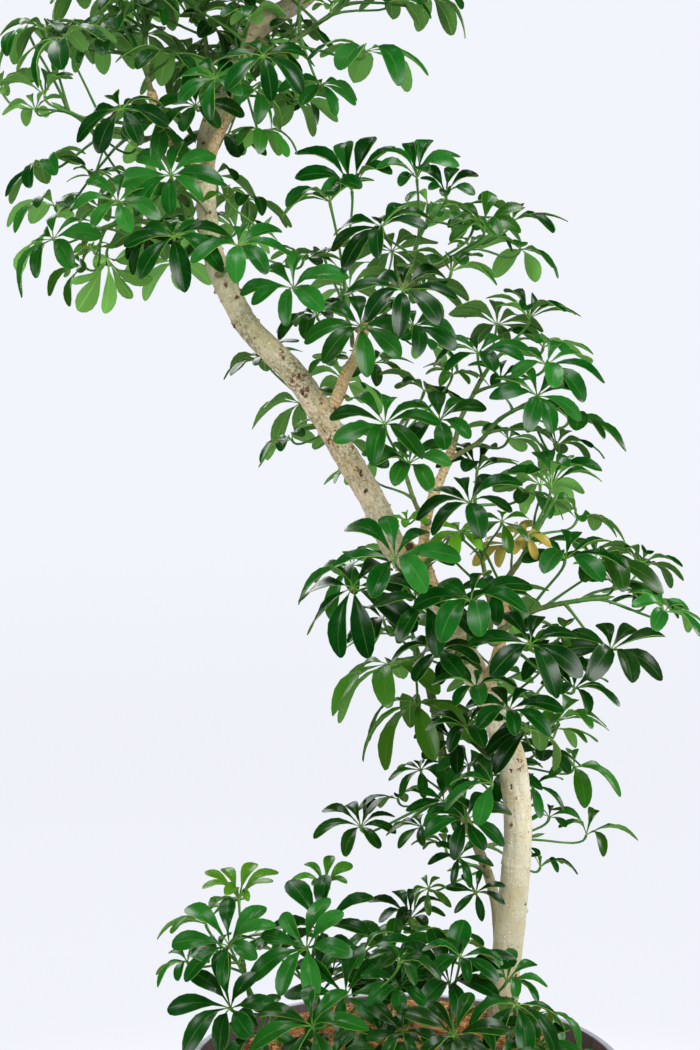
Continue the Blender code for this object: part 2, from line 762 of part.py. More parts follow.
class Air:
    """What already stands, so that each new leaf is placed clear of it."""

    def __init__(self):
        self.low = []
        self.high = []
        self.trees = []
        self.tags = []

    def add(self, points, faces, tag):
        low, high = extent(points, faces)
        self.low.append(low)
        self.high.append(high)
        self.trees.append(BVHTree.FromPolygons(points, faces))
        self.tags.append(tag)

    def meets(self, points, faces, ignored):
        low, high = extent(points, faces)
        overlaps = (np.array(self.low) < high).all(1) & (np.array(self.high) > low).all(1)
        tree = BVHTree.FromPolygons(points, faces)
        return any(
            self.tags[k] not in ignored and tree.overlap(self.trees[k])
            for k in np.flatnonzero(overlaps)
        )


def extent(points, faces):
    """The lowest and highest corner of the box round these faces."""
    used = np.array([points[k] for k in sorted({k for face in faces for k in face})])
    return used.min(0), used.max(0)


def stalk_crosses_blade(points, star, line):
    """Whether the stalk runs through its own leaflets, beyond the place where they join."""
    tree = BVHTree.FromPolygons(points, star)
    beyond = [line[0].lerp(line[1], 0.25), *line[1:]]
    for first, second in zip(beyond, beyond[1:]):
        span = second - first
        if tree.ray_cast(first, span.normalized(), span.length)[0] is not None:
            return True
    return False


def facing_up(facing, rise):
    """The way a leaf's upper side looks: `facing` 0 is towards the viewer, `rise` 90 is straight up."""
    facing, rise = math.radians(facing), math.radians(rise)
    return Vector((math.sin(facing) * math.cos(rise), -math.cos(facing) * math.cos(rise), math.sin(rise)))


def roots_for(hub, reach, stem):
    """Places on the stem for a leaf stalk, best first: a natural length away, below the leaf and free."""
    wished = min(max(PETIOLE_PER_REACH * reach, PETIOLE_SHORTEST), PETIOLE_LONGEST)
    places = [
        stem.centres[index].lerp(stem.centres[index + 1], share)
        for index in range(1, len(stem.centres) - 1)
        for share in (0.25, 0.75)
    ]

    def cost(place):
        away = (hub - place).length
        too_high = max(0, place.z - hub.z + 0.15 * away)
        taken = sum((place - other).length < ROOT_SPACING for other in stem.roots)
        return abs(away - wished) + 0.4 * too_high + 0.008 * taken

    return sorted(places, key=cost)


def change_cost(change):
    depth, cup, size, choice = change
    moved = abs(depth) * COST_PER_MILLIMETRE + abs(cup) * COST_PER_DEGREE
    return moved + (1 - size) * COST_PER_SIZE + choice * COST_PER_ROOT


CHANGES = sorted(itertools.product(DEPTH_CHANGES, CUP_CHANGES, SIZE_CHANGES, ROOT_CHOICES), key=change_cost)


def grow_leaf(air, stem, row, seed):
    """The points and faces of this row's leaf, at the first small change that leaves it clear of the rest."""
    up = facing_up(row.facing, row.rise)
    east = up.orthogonal().normalized()
    own_stalks = ((stem.name, "stem"), (stem.name, "stalk"))
    for deeper, cup, size, choice in CHANGES:
        depth = row.depth + deeper
        hub = spot(row.across, row.down, depth)
        reach = reach_metres(row.reach, depth) * size
        roots = roots_for(hub, reach, stem)
        root = roots[min(choice, len(roots) - 1)]
        count = leaflet_count(reach, depth)
        lean = root - hub
        spin = math.atan2(lean.dot(up.cross(east)), lean.dot(east)) + math.pi / count
        given = (hub, up, spin, reach, math.radians(row.cup + cup), count, root)
        points, star, stalk, line = leaf(*given, random.Random(seed), AIR)
        if stalk_crosses_blade(points, star, line):
            continue
        if air.meets(points, star, ()) or air.meets(points, stalk, own_stalks):
            continue
        points, star, stalk, line = leaf(*given, random.Random(seed))
        air.add(points, star, (stem.name, "blade"))
        air.add(points, stalk, (stem.name, "stalk"))
        stem.roots.append(root)
        return points, star + stalk
    raise ValueError(f"no clear place for leaf {seed}")


def material(finish):
    """The finish's Principled material, made once."""
    made = bpy.data.materials.get(finish.name)
    if made is None:
        made = bpy.data.materials.new(finish.name)
        made.use_nodes = True
        shader = made.node_tree.nodes["Principled BSDF"]
        shader.inputs["Base Color"].default_value = (*finish.colour, 1)
        shader.inputs["Roughness"].default_value = finish.roughness
        shader.inputs["Metallic"].default_value = 0
    return made


def solid_object(name, solid, finish, home=None):
    """An object from a bmesh, with its faces turned out and its round stretches shaded smooth."""
    bmesh.ops.recalc_face_normals(solid, faces=solid.faces)
    mesh = bpy.data.meshes.new(name)
    solid.to_mesh(mesh)
    solid.free()
    mesh.shade_smooth()
    mesh.set_sharp_from_angle(angle=SHARP_EDGE)
    mesh.materials.append(material(finish))
    made = bpy.data.objects.new(name, mesh)
    (home or bpy.context.scene.collection).objects.link(made)
    return made


def shape_object(name, shape, finish, home=None):
    """An object from a list of points and a list of faces."""
    points, faces = shape
    solid = bmesh.new()
    corners = [solid.verts.new(point) for point in points]
    for face in faces:
        solid.faces.new([corners[k] for k in face])
    return solid_object(name, solid, finish, home)


def turned_object(name, profile, sides, finish):
    """A solid turned about the upright axis from a profile of (radius, height) that starts and ends on it."""
    solid = bmesh.new()
    line = [solid.verts.new((radius, 0, height)) for radius, height in profile]
    edges = [solid.edges.new(pair) for pair in zip(line, line[1:])]
    bmesh.ops.spin(
        solid, geom=line + edges, cent=(0, 0, 0), axis=(0, 0, 1), dvec=(0, 0, 0),
        angle=2 * math.pi, steps=sides, use_merge=True,
    )
    bmesh.ops.remove_doubles(solid, verts=solid.verts, dist=CLEARANCE / 10)
    return solid_object(name, solid, finish)


def combine(made, shapes, finish, operation, solver):
    """Joins the shapes to the object, or cuts them out of it, with one applied Boolean on a collection."""
    helpers = bpy.data.collections.new(made.name + "_helpers")
    bpy.context.scene.collection.children.link(helpers)
    for index, shape in enumerate(shapes):
        shape_object(f"{made.name}_helper_{index}", shape, finish, helpers)
    boolean = made.modifiers.new("combine", "BOOLEAN")
    boolean.operation = operation
    boolean.operand_type = "COLLECTION"
    boolean.collection = helpers
    boolean.solver = solver
    graph = bpy.context.evaluated_depsgraph_get()
    result = bpy.data.meshes.new_from_object(made.evaluated_get(graph))
    made.modifiers.clear()
    made.data = result
    for helper in list(helpers.objects):
        bpy.data.objects.remove(helper)
    bpy.data.collections.remove(helpers)


def clear_scene():
    for old in list(bpy.data.objects):
        bpy.data.objects.remove(old)


def make_pot():
    """The round tapered outer pot: a flat base with a small bevel, and an open inside."""
    inner_top = POT_TOP_RADIUS - POT_WALL
    inner_base = POT_BASE_RADIUS - POT_WALL
    profile = [
        (0, 0), (POT_BASE_RADIUS - 2 * POT_EDGE, 0), (POT_BASE_RADIUS, 2 * POT_EDGE),
        (POT_TOP_RADIUS, POT_HEIGHT - POT_EDGE), (POT_TOP_RADIUS - POT_EDGE / 2, POT_HEIGHT),
        (inner_top + POT_EDGE / 2, POT_HEIGHT), (inner_top, POT_HEIGHT - POT_EDGE),
        (inner_base, POT_FLOOR), (0, POT_FLOOR),
    ]
    return turned_object("pot", profile, POT_SIDES, FIBRE_CEMENT)


def make_nursery_pot():
    """The plain thin pot of the root ball, on the outer pot's floor."""
    inside_floor = NURSERY_FLOOR + NURSERY_WALL
    profile = [
        (0, NURSERY_FLOOR), (NURSERY_BASE_RADIUS, NURSERY_FLOOR), (NURSERY_TOP_RADIUS, NURSERY_RIM),
        (NURSERY_TOP_RADIUS - NURSERY_WALL, NURSERY_RIM), (NURSERY_BASE_RADIUS - NURSERY_WALL, inside_floor),
        (0, inside_floor),
    ]
    return turned_object("nursery_pot", profile, NURSERY_SIDES, NURSERY_PLASTIC)


def nursery_inside(height):
    """The radius, at this height, of what fills the nursery pot with a hair's gap to its wall."""
    share = (height - NURSERY_FLOOR) / NURSERY_HEIGHT
    radius = NURSERY_BASE_RADIUS + (NURSERY_TOP_RADIUS - NURSERY_BASE_RADIUS) * share
    return radius - NURSERY_WALL - 2 * CLEARANCE


def make_soil(holes):
    """The root ball's soil, with a plain hole for each stem that stands in it."""
    floor = NURSERY_FLOOR + NURSERY_WALL + CLEARANCE
    wide, narrow = nursery_inside(SOIL_TOP), nursery_inside(floor)
    profile = [(0, floor), (narrow, floor), (wide, SOIL_TOP), (0, SOIL_TOP)]
    made = turned_object("soil", profile, NURSERY_SIDES, POTTING_SOIL)
    combine(made, holes, POTTING_SOIL, "DIFFERENCE", "EXACT")
    return made


def make_mulch(holes):
    """A mound of coconut fibre on the soil, which lies over the nursery pot's rim and hangs outside it."""
    plug = nursery_inside(SOIL_TOP)
    inside = NURSERY_TOP_RADIUS + 4 * CLEARANCE
    outside = inside + MULCH_OVERHANG
    rise = MULCH_CROWN - NURSERY_RIM
    dome = [
        (outside * math.cos(math.radians(turn)), NURSERY_RIM + rise * math.sin(math.radians(turn)))
        for turn in (8, 34, 53, 72)
    ]
    profile = [
        (0, SOIL_TOP + CLEARANCE), (plug, SOIL_TOP + CLEARANCE), (plug, NURSERY_RIM + CLEARANCE),
        (inside, NURSERY_RIM + CLEARANCE), (inside, NURSERY_RIM - MULCH_SKIRT),
        (outside, NURSERY_RIM - MULCH_SKIRT), *dome, (0, MULCH_CROWN),
    ]
    made = turned_object("mulch", profile, NURSERY_SIDES, COCONUT_FIBRE)
    draw = random.Random("mulch")
    for point in made.data.vertices:
        if point.co.z > NURSERY_RIM + 2 * MULCH_BUMP:
            point.co.z += draw.uniform(-MULCH_BUMP, MULCH_BUMP)
    combine(made, holes, COCONUT_FIBRE, "DIFFERENCE", "EXACT")
    return made


def foot_hole(bottom, top, radius):
    """The plain hole that a stem stands in, from just below its foot to above the mulch."""
    heading = (top - bottom).normalized()
    ends = [bottom - heading * HOLE_CLEARANCE, top + heading * HOLE_OVERRUN]
    return tube(ends, [(radius + HOLE_CLEARANCE) / math.cos(math.pi / HOLE_SIDES)] * 2, HOLE_SIDES)


def wood_line(rows, step):
    """The centres and radii of a length of wood through these rows."""
    places = [spot(across, down, depth) for across, down, depth, _ in rows]
    return thin_out(*smooth(places, [radius / 1000 for *_, radius in rows]), step)


def make_wood(name, foot, route, branches, sides, finish):
    """A woody stem with its branches, and its foot: the bottom, top and radius of what stands in the hole."""
    across, depth, height = foot
    bottom = spot(across, route[0][1], depth)
    bottom.z = height
    places, radii = wood_line(route, TRUNK_STEP)
    made = shape_object(name, tube([bottom, *places], [radii[0], *radii], sides), finish)
    if branches:
        limbs = [tube(*wood_line(rows, BRANCH_STEP), BRANCH_SIDES) for rows in branches]
        combine(made, limbs, finish, "UNION", "MANIFOLD")
    return made, (bottom, places[0], radii[0])


def mesh_shape(made):
    """The points and faces of an object's mesh."""
    points = [point.co.copy() for point in made.data.vertices]
    return points, [tuple(face.vertices) for face in made.data.polygons]


def seated_route(shoot, woods):
    """The shoot's route: from a flat seat on the nearest bark, or from its foot in the soil."""
    places = [spot(*row) for row in shoot.route]
    if shoot.foot:
        x, y = shoot.foot[0] / 1000, shoot.foot[1] / 1000
        return [Vector((x, y, SOIL_TOP - FOOT_DEPTH)), Vector((x, y, MULCH_CROWN + FOOT_RISE)), *places]
    seat, outward, *_ = min((wood.find_nearest(places[0]) for wood in woods), key=lambda hit: hit[3])
    return [seat + outward * SEAT_GAP, seat + outward * SEAT_RISE, *places[1:]]


def shoot_line(shoot, woods):
    """The centres and radii of a green stem, which narrows to its tip."""
    route = seated_route(shoot, woods)
    last = len(route) - 1
    girths = [shoot.girth / 1000 * (1 - (1 - TIP_GIRTH) * k / last) for k in range(last + 1)]
    places, radii = thin_out(*smooth(route[1:], girths[1:]), GREEN_STEP)
    return [route[0], *places], [girths[0], *radii]


Stem = namedtuple("Stem", "name centres radii roots")


def make_shoots(air, woods):
    """Every leafy shoot as one solid. The leaves nearest to the viewer are placed first, on all shoots."""
    stems = {shoot.name: Stem(shoot.name, *shoot_line(shoot, woods), []) for shoot in SHOOTS}
    for stem in stems.values():
        air.add(*tube(stem.centres, stem.radii, GREEN_SIDES), (stem.name, "stem"))
    rows = [(Leaf(*row), shoot.name, index) for shoot in SHOOTS for index, row in enumerate(shoot.leaves)]
    leaves = {shoot.name: [] for shoot in SHOOTS}
    for row, name, index in sorted(rows, key=lambda entry: entry[0].depth):
        leaves[name].append(grow_leaf(air, stems[name], row, f"{name} {index}"))
    for shoot in SHOOTS:
        stem = stems[shoot.name]
        finish = YOUNG_LEAF_GREEN if shoot.young else LEAF_GREEN
        made = shape_object(shoot.name, tube(stem.centres, stem.radii, GREEN_SIDES), finish)
        combine(made, leaves[shoot.name], finish, "UNION", "MANIFOLD")


def main():
    clear_scene()
    trunk, trunk_foot = make_wood(
        "trunk", TRUNK_FOOT, TRUNK_ROUTE, BRANCH_ROUTES.values(), TRUNK_SIDES, PALE_BARK
    )
    second, second_foot = make_wood("second_stem", SECOND_FOOT, SECOND_ROUTE, (), BRANCH_SIDES, BROWN_BARK)
    woods = [BVHTree.FromPolygons(*mesh_shape(made)) for made in (trunk, second)]
    feet = [trunk_foot, second_foot]
    for shoot in SHOOTS:
        if shoot.foot:
            centres, radii = shoot_line(shoot, woods)
            feet.append((centres[0], centres[1], radii[0]))
    holes = [foot_hole(*foot) for foot in feet]
    pot = make_pot()
    make_nursery_pot()
    make_soil(holes)
    mulch = make_mulch(holes)
    air = Air()
    for made in (trunk, second, pot, mulch):
        air.add(*mesh_shape(made), (made.name, "solid"))
    make_shoots(air, woods)


main()
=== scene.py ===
"""Potted compacta dwarf umbrella tree: leaves, bark, mulch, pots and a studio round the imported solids."""

import json
import math
import random
from collections import namedtuple

import bmesh
import bpy
import numpy as np
from bpy.props import FloatProperty, FloatVectorProperty, IntProperty, PointerProperty
from mathutils import Matrix, Vector, noise
from mathutils.bvhtree import BVHTree
from mathutils.kdtree import KDTree

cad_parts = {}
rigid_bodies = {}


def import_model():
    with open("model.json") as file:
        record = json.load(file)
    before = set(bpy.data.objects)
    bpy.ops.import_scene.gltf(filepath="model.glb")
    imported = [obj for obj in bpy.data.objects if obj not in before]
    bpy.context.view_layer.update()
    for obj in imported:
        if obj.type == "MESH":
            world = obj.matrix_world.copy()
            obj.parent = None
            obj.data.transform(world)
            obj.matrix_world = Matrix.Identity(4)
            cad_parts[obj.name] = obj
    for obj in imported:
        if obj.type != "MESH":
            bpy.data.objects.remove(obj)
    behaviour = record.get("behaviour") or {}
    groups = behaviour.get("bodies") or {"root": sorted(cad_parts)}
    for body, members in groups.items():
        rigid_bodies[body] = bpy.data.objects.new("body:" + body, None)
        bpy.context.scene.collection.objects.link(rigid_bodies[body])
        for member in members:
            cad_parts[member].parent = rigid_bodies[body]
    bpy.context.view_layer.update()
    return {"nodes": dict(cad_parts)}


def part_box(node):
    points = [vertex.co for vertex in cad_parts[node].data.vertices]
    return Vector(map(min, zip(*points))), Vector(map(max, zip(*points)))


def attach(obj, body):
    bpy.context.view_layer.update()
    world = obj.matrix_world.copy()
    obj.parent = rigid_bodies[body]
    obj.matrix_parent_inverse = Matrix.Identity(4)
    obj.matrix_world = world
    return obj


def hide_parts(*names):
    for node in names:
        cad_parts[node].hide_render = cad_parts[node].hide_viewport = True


bl_info = {
    "name": "Potted dwarf umbrella tree",
    "version": (1, 0, 0),
    "blender": (4, 5, 0),
    "location": "3D View > Sidebar > Umbrella tree",
    "description": "Builds the leaves, bark, mulch, pots and studio of a potted dwarf umbrella tree",
    "category": "Object",
}

for startup_object in list(bpy.data.objects):
    bpy.data.objects.remove(startup_object)
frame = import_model()
BODY = "root"

# The viewpoint that the pixel coordinates below belong to, in a picture of 700 by 1050 pixels
PICTURE = (700, 1050)
EYE = Vector((-0.0468, -1.300, 0.785))
FOCAL_PIXELS = 1528.0
UP = Vector((0, 0, 1))
MERGE = 1e-5

# Routes of wood, as the solids have them: pixel across, pixel down, depth in mm, radius in mm
TRUNK_ROUTE = [
    (503, 985, 40, 13.4), (507, 955, 39, 13.2), (511, 920, 37, 13.2), (516, 868, 34, 12.8),
    (518, 822, 32, 12.7), (514, 772, 30, 12.6), (506, 743, 28, 12.4), (489, 700, 26, 12.2),
    (460, 645, 23, 11.8), (443, 612, 20, 11.6), (415, 572, 17, 11.4), (392, 543, 15, 11.3),
    (375, 505, 12, 11.1), (350, 462, 10, 11.0), (332, 432, 8, 11.0), (313, 400, 6, 11.2),
    (290, 370, 5, 11.0), (254, 334, 4, 10.6), (236, 306, 3, 10.0), (216, 262, 0, 9.4), (208, 220, 0, 8.8),
    (206, 192, 2, 8.6), (204, 160, 6, 8.5), (211, 124, 10, 8.5), (229, 80, 16, 8.8), (257, 30, 20, 9.0),
    (302, -2, 20, 8.8), (330, -34, 16, 8.2), (348, -72, 10, 7.4), (354, -112, 5, 6.4),
]
BRANCH_ROUTES = {
    "branch_a": [
        (207, 176, 3, 6.0), (212, 150, -16, 5.2), (226, 120, -20, 5.0), (235, 103, -18, 4.8),
        (238, 80, -15, 4.4),
    ],
    "branch_b": [
        (205, 185, 2, 6.0), (192, 160, -10, 5.4), (172, 142, -12, 5.2), (160, 120, -8, 5.0),
        (151, 92, -4, 4.4),
    ],
    "branch_c": [
        (322, 424, 8, 6.5), (337, 398, 4, 5.8), (346, 374, 1, 5.4), (356, 357, 0, 5.2), (362, 338, 0, 4.8),
        (367, 320, -1, 4.4), (375, 303, -3, 4.2), (388, 292, -5, 4.0),
    ],
    "branch_e": [
        (446, 615, 20, 6.0), (436, 592, 0, 5.2), (425, 560, -4, 5.0), (425, 530, -6, 4.8),
        (432, 500, -8, 4.5), (444, 470, -10, 4.2), (453, 446, -10, 4.0),
    ],
    "branch_f": [
        (486, 694, 25, 6.5), (496, 660, 0, 5.4), (502, 634, -8, 5.0), (505, 606, -8, 4.8),
        (506, 588, -8, 4.6),
    ],
    "cut_stub": [(400, 556, 15, 6.0), (408, 548, -1, 5.4), (411, 545, -6, 5.2)],
}
SECOND_ROUTE = [
    (500, 985, 86, 5.2), (499, 950, 88, 5.2), (496, 905, 88, 5.1), (486, 868, 86, 5.0), (471, 832, 84, 4.9),
    (456, 798, 81, 4.8), (444, 762, 78, 4.6), (435, 712, 76, 4.4), (427, 676, 74, 4.2),
]
# Where the trunk and the second stem end in the soil: pixel across, depth in mm, height in metres
TRUNK_FOOT = (502, 40, 0.232)
SECOND_FOOT = (500, 85, 0.250)

# Green stems, as the solids have them: radius in mm, route of pixel across, pixel down and depth in mm, and
# the foot (x and y in mm) of those that stand in the soil
Stem = namedtuple("Stem", "radius route foot", defaults=[None])
STEMS = {
    "crown_far_left": Stem(3.2, [
        (163, 130, -10), (140, 138, -16), (112, 130, -18), (85, 120, -18), (62, 108, -16),
    ]),
    "crown_left_top": Stem(3.2, [(151, 90, -4), (146, 62, -2), (145, 30, 0), (143, -2, 0), (142, -28, 2)]),
    "crown_mid_top": Stem(3.0, [
        (213, 116, 4), (209, 84, 0), (206, 44, 6), (200, 2, 6), (196, -38, 4), (192, -72, 0),
    ]),
    "crown_centre": Stem(3.0, [(238, 79, -15), (239, 64, -18), (243, 44, -22), (248, 24, -24)]),
    "crown_behind": Stem(2.9, [(222, 100, 30), (232, 96, 48), (244, 86, 62), (256, 76, 72)]),
    "crown_right": Stem(3.2, [
        (262, 42, 8), (274, 50, -6), (292, 42, -12), (320, 22, -12), (343, 5, -12), (360, -20, -12),
    ]),
    "summit_left": Stem(3.0, [(328, -32, 10), (310, -52, 0), (296, -76, -4), (288, -104, -4)]),
    "summit": Stem(3.2, [(354, -114, 5), (355, -128, 4), (353, -146, 3), (350, -168, 2)]),
    "left_mid": Stem(3.2, [
        (206, 240, -6), (184, 230, -18), (155, 222, -22), (122, 222, -22), (98, 230, -20),
    ]),
    "right_mid": Stem(3.0, [(222, 274, -6), (238, 262, -18), (251, 242, -24), (264, 226, -24)]),
    "trunk_behind_high": Stem(2.9, [(214, 250, 14), (206, 240, 34), (196, 226, 54), (188, 210, 72)]),
    "mid_left": Stem(2.8, [(359, 347, 8), (352, 334, 14), (347, 317, 14), (343, 298, 12)]),
    "mid_up": Stem(3.0, [
        (376, 302, 4), (392, 288, 12), (409, 272, 8), (415, 250, 2), (422, 231, -4), (434, 212, -4),
    ]),
    "mid_front": Stem(2.9, [(372, 310, -6), (378, 304, -26), (390, 300, -44)]),
    "mid_behind": Stem(2.9, [(364, 332, 8), (370, 326, 30), (380, 318, 50), (390, 306, 66)]),
    "mid_right": Stem(3.6, [
        (389, 291, -5), (408, 284, -12), (432, 270, -18), (459, 255, -22), (484, 240, -24), (502, 229, -24),
    ]),
    "upright_c": Stem(3.0, [
        (453, 445, -10), (461, 418, -10), (474, 393, -8), (482, 378, -8), (494, 361, -10), (508, 348, -12),
    ]),
    "upright_d": Stem(3.2, [
        (447, 462, -13), (464, 451, -22), (481, 440, -26), (500, 419, -30), (530, 402, -34),
    ]),
    "mid_low_left": Stem(2.9, [
        (427, 522, -12), (416, 505, -26), (408, 482, -34), (402, 458, -38), (399, 436, -40),
    ]),
    "mid_left_behind": Stem(2.9, [(338, 436, 20), (330, 428, 40), (318, 416, 58), (306, 400, 74)]),
    "centre": Stem(3.0, [
        (497, 642, -10), (491, 618, -26), (487, 586, -32), (481, 552, -34), (477, 522, -34), (475, 500, -34),
    ]),
    "fork_f": Stem(3.4, [
        (506, 586, -8), (512, 572, -10), (523, 556, -12), (536, 532, -12), (546, 514, -12), (553, 502, -12),
    ]),
    "right_fan": Stem(3.4, [
        (502, 630, -14), (520, 617, -26), (542, 608, -32), (564, 603, -36), (584, 600, -38), (602, 598, -38),
    ]),
    "front_fan": Stem(3.0, [(502, 652, -12), (508, 650, -34), (516, 648, -50)]),
    "elbow_left": Stem(2.9, [(420, 566, -12), (412, 578, -26), (403, 590, -36), (394, 600, -40)]),
    "trunk_front": Stem(3.0, [(468, 662, 0), (468, 652, -22), (468, 640, -38), (469, 624, -48)]),
    "elbow_low": Stem(3.0, [(494, 714, 6), (498, 709, -16), (502, 704, -34), (507, 700, -46)]),
    "elbow_behind": Stem(2.9, [(500, 730, 44), (512, 722, 62), (524, 712, 78), (534, 700, 90)]),
    "second_top": Stem(3.0, [(427, 675, 74), (422, 662, 74), (416, 646, 72), (411, 628, 70)]),
    "second_left": Stem(2.9, [(449, 784, 76), (441, 794, 62), (431, 804, 54), (420, 812, 50)]),
    "second_front": Stem(2.9, [(459, 806, 78), (462, 806, 62), (464, 808, 48), (465, 811, 36)]),
    "second_low": Stem(2.8, [(488, 874, 80), (480, 868, 66), (469, 865, 56), (457, 868, 50)]),
    "second_right": Stem(2.9, [(479, 850, 90), (496, 844, 106), (516, 840, 114), (534, 836, 118)]),
    "second_right_high": Stem(2.9, [(450, 782, 84), (470, 774, 104), (500, 766, 114), (530, 764, 120)]),
    "foot_left": Stem(2.7, [(254, 1008, -16), (247, 984, -16), (243, 960, -14)], (-108, -14)),
    "foot_back_left": Stem(2.7, [(303, 990, 32), (311, 962, 24), (316, 945, 18)], (-74, 42)),
    "foot_front_left": Stem(2.7, [(336, 1046, -62), (340, 1028, -66), (342, 1012, -68)], (-58, -52)),
    "foot_middle": Stem(2.8, [(384, 1012, 4), (388, 992, 2), (391, 974, 0)], (-16, 2)),
    "foot_front_right": Stem(2.7, [(450, 1034, -34), (452, 1012, -38), (452, 1000, -40)], (36, -30)),
    "foot_right": Stem(2.7, [(508, 1044, -42), (513, 1024, -46), (515, 1012, -46)], (84, -38)),
    "foot_behind": Stem(2.7, [(426, 985, 98), (423, 962, 100), (421, 946, 102)], (30, 92)),
}
# Share of its radius that a stem keeps at its tip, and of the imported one's, which is stouter than real
STEM_TIP = 0.66
SLIM_STEM = 0.78
# The rings of the bud at a stem's tip: how far past it, and their radii
BUD = {0.0025: 0.0019, 0.005: 0.0016, 0.008: 0.0010, 0.0105: 0.0003}
# How far apart the rings of a stem lie, in metres
STEM_STEP = 0.003
# How far a stem stands out of the bark at first, and how deep it sits in it
SEAT_RISE, SEAT_DEPTH = 0.007, 0.003
# Between which heights the stems at the foot rise straight, and where their leaves end
FOOT_BOTTOM, FOOT_TOP = 0.288, 0.366
FOOT_LEAVES_BELOW = 0.50
# How many more leaves than packed ones the dense shoots carry, by the first word of their names
INNER_LEAVES = {"crown": 0.7, "summit": 0.7, "left": 0.5, "foot": 0.5, "centre": 0.3}
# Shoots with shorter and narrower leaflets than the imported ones: length and width
SLIM_SHOOTS = {
    "second_right": (0.88, 0.74), "second_right_high": (0.9, 0.76), "second_left": (0.92, 0.84),
    "second_low": (0.86, 0.84), "second_top": (1.05, 0.9),
}

# Leaves that lie otherwise than their neighbours: pixel across and down of the hub, how far they turn to the
# sky or to the front, how far they cup, and how much longer they are
SKY_LEAVES = [
    (361, 828, 0.7, 0.15, 0.9), (492, 784, 0.5, 0.0, 1.0), (530, 730, 0.3, 0.1, 1.0),
    (516, 1006, 0.7, -0.25, 1.0), (548, 1012, 0.5, -0.3, 1.0), (578, 1052, 0.6, -0.5, 1.0),
    (395, 560, 0.0, 0.25, 1.15), (424, 604, 0.1, 0.2, 1.2), (388, 665, 0.5, 0.1, 1.2),
    (366, 52, 0.0, 0.35, 1.2), (416, 704, 0.5, 0.1, 1.2),
]
FRONT_LEAVES = [
    (352, 566, 0.45, -0.05, 1.15), (353, 588, 0.65, -0.1, 1.3), (417, 180, 0.65, 0.0, 1.05),
    (446, 196, 0.7, 0.0, 1.0), (484, 231, 0.7, 0.0, 1.0), (352, 192, 0.7, 0.0, 1.05),
    (428, 205, 0.35, 0.0, 1.0), (474, 226, 0.4, 0.0, 1.0), (450, 986, 0.5, 0.25, 1.1),
    (230, 947, 0.5, 0.35, 1.0), (231, 1009, 0.45, 0.15, 1.0), (322, 934, 0.5, 0.0, 1.08),
    (392, 968, 0.5, 0.1, 1.08), (401, 988, 0.5, 0.0, 1.0), (455, 1037, 0.4, 0.45, 1.0),
    (239, 901, 0.2, 0.1, 1.05), (325, 890, 0.2, 0.1, 1.05), (307, 950, 0.45, 0.35, 1.0),
    (346, 997, 0.4, 0.45, 1.0), (313, 1027, 0.4, 0.4, 1.0), (404, 1034, 0.4, 0.2, 1.0),
]
FRONT = Vector((-0.15, -0.80, 0.58)).normalized()
# Leaves that have no leaflets over the bare trunk, and where it shows: left, top, right and bottom pixel
CLEAR_LEAVES = [(492, 784), (530, 730), (516, 1006)]
OPEN_BARK = (500, 758, 548, 990)
# How near a leaf's hub is to its listed pixel
SAME_HUB = 5

# How the solids bend a leaf stalk and hang a leaflet's tip
STALK_SAG = 0.45
STRAIGHT_STALK = math.radians(48)
TIP_SAG = 0.10
# How far the top of a packed hub lies above its middle and its stalk starts below it, how far from the middle
# the finer leaflets and stalks start, and the radius of the knob there
PACKED_TOP, PACKED_STALK = 0.0004, 0.0024
HUB_STEP = 0.0008
KNOB_RADIUS = 0.0015

# Leaflets: columns and rows of each one's grid, where along it the blade starts, its arch, its half width as
# a share of its length, and how blunt its tip is
COLUMNS, ROWS = 4, 9
BLADE_START = 0.12
ARCH = 0.123
BLADE_HALF_WIDTH = 0.210
TIP_FULLNESS = 0.63
# Half the width of a leaflet's own stalk
LEAST_WIDTH = 0.00055
# How thick a leaf stalk is along its length, as a share of its middle
STALK_SWELL = {
    0: 1.8, 0.06: 1.5, 0.16: 1.15, 0.34: 1.0, 0.52: 0.95, 0.68: 0.95, 0.8: 0.98, 0.89: 1.05, 0.96: 1.2,
    1: 1.35,
}
# Heights, and how far leaves there settle towards the sky, and how steeply they would cup
SETTLING = ((0.46, 0.52, 0.64, 0.70), (0.3, 0.5, 0.5, 0.2))
CUPPING = ((0.48, 0.52, 1.0, 1.1), (0.34, 0.16, 0.14, -0.08))

# Leaves that stand out in colour: pixel across and down, how far round it in pixels, youth and bronze
LIGHT_LEAVES = [
    (405, 522, 18, 0.8, 0), (488, 532, 16, 1.0, 0), (470, 526, 20, 0.8, 0), (522, 538, 22, 0.9, 1),
    (36, 111, 20, 0.12, 0), (239, 901, 16, 0.5, 0), (206, 925, 16, 0.4, 0), (325, 890, 20, 0.25, 0),
    (388, 665, 8, 0.7, 0), (416, 704, 8, 0.6, 0), (398, 636, 6, 0.4, 0), (600, 742, 50, 0.3, 0),
    (605, 830, 50, 0.25, 0), (105, 270, 30, 0.3, 0), (570, 620, 30, 0.2, 0), (263, 133, 14, 0.12, 0),
]

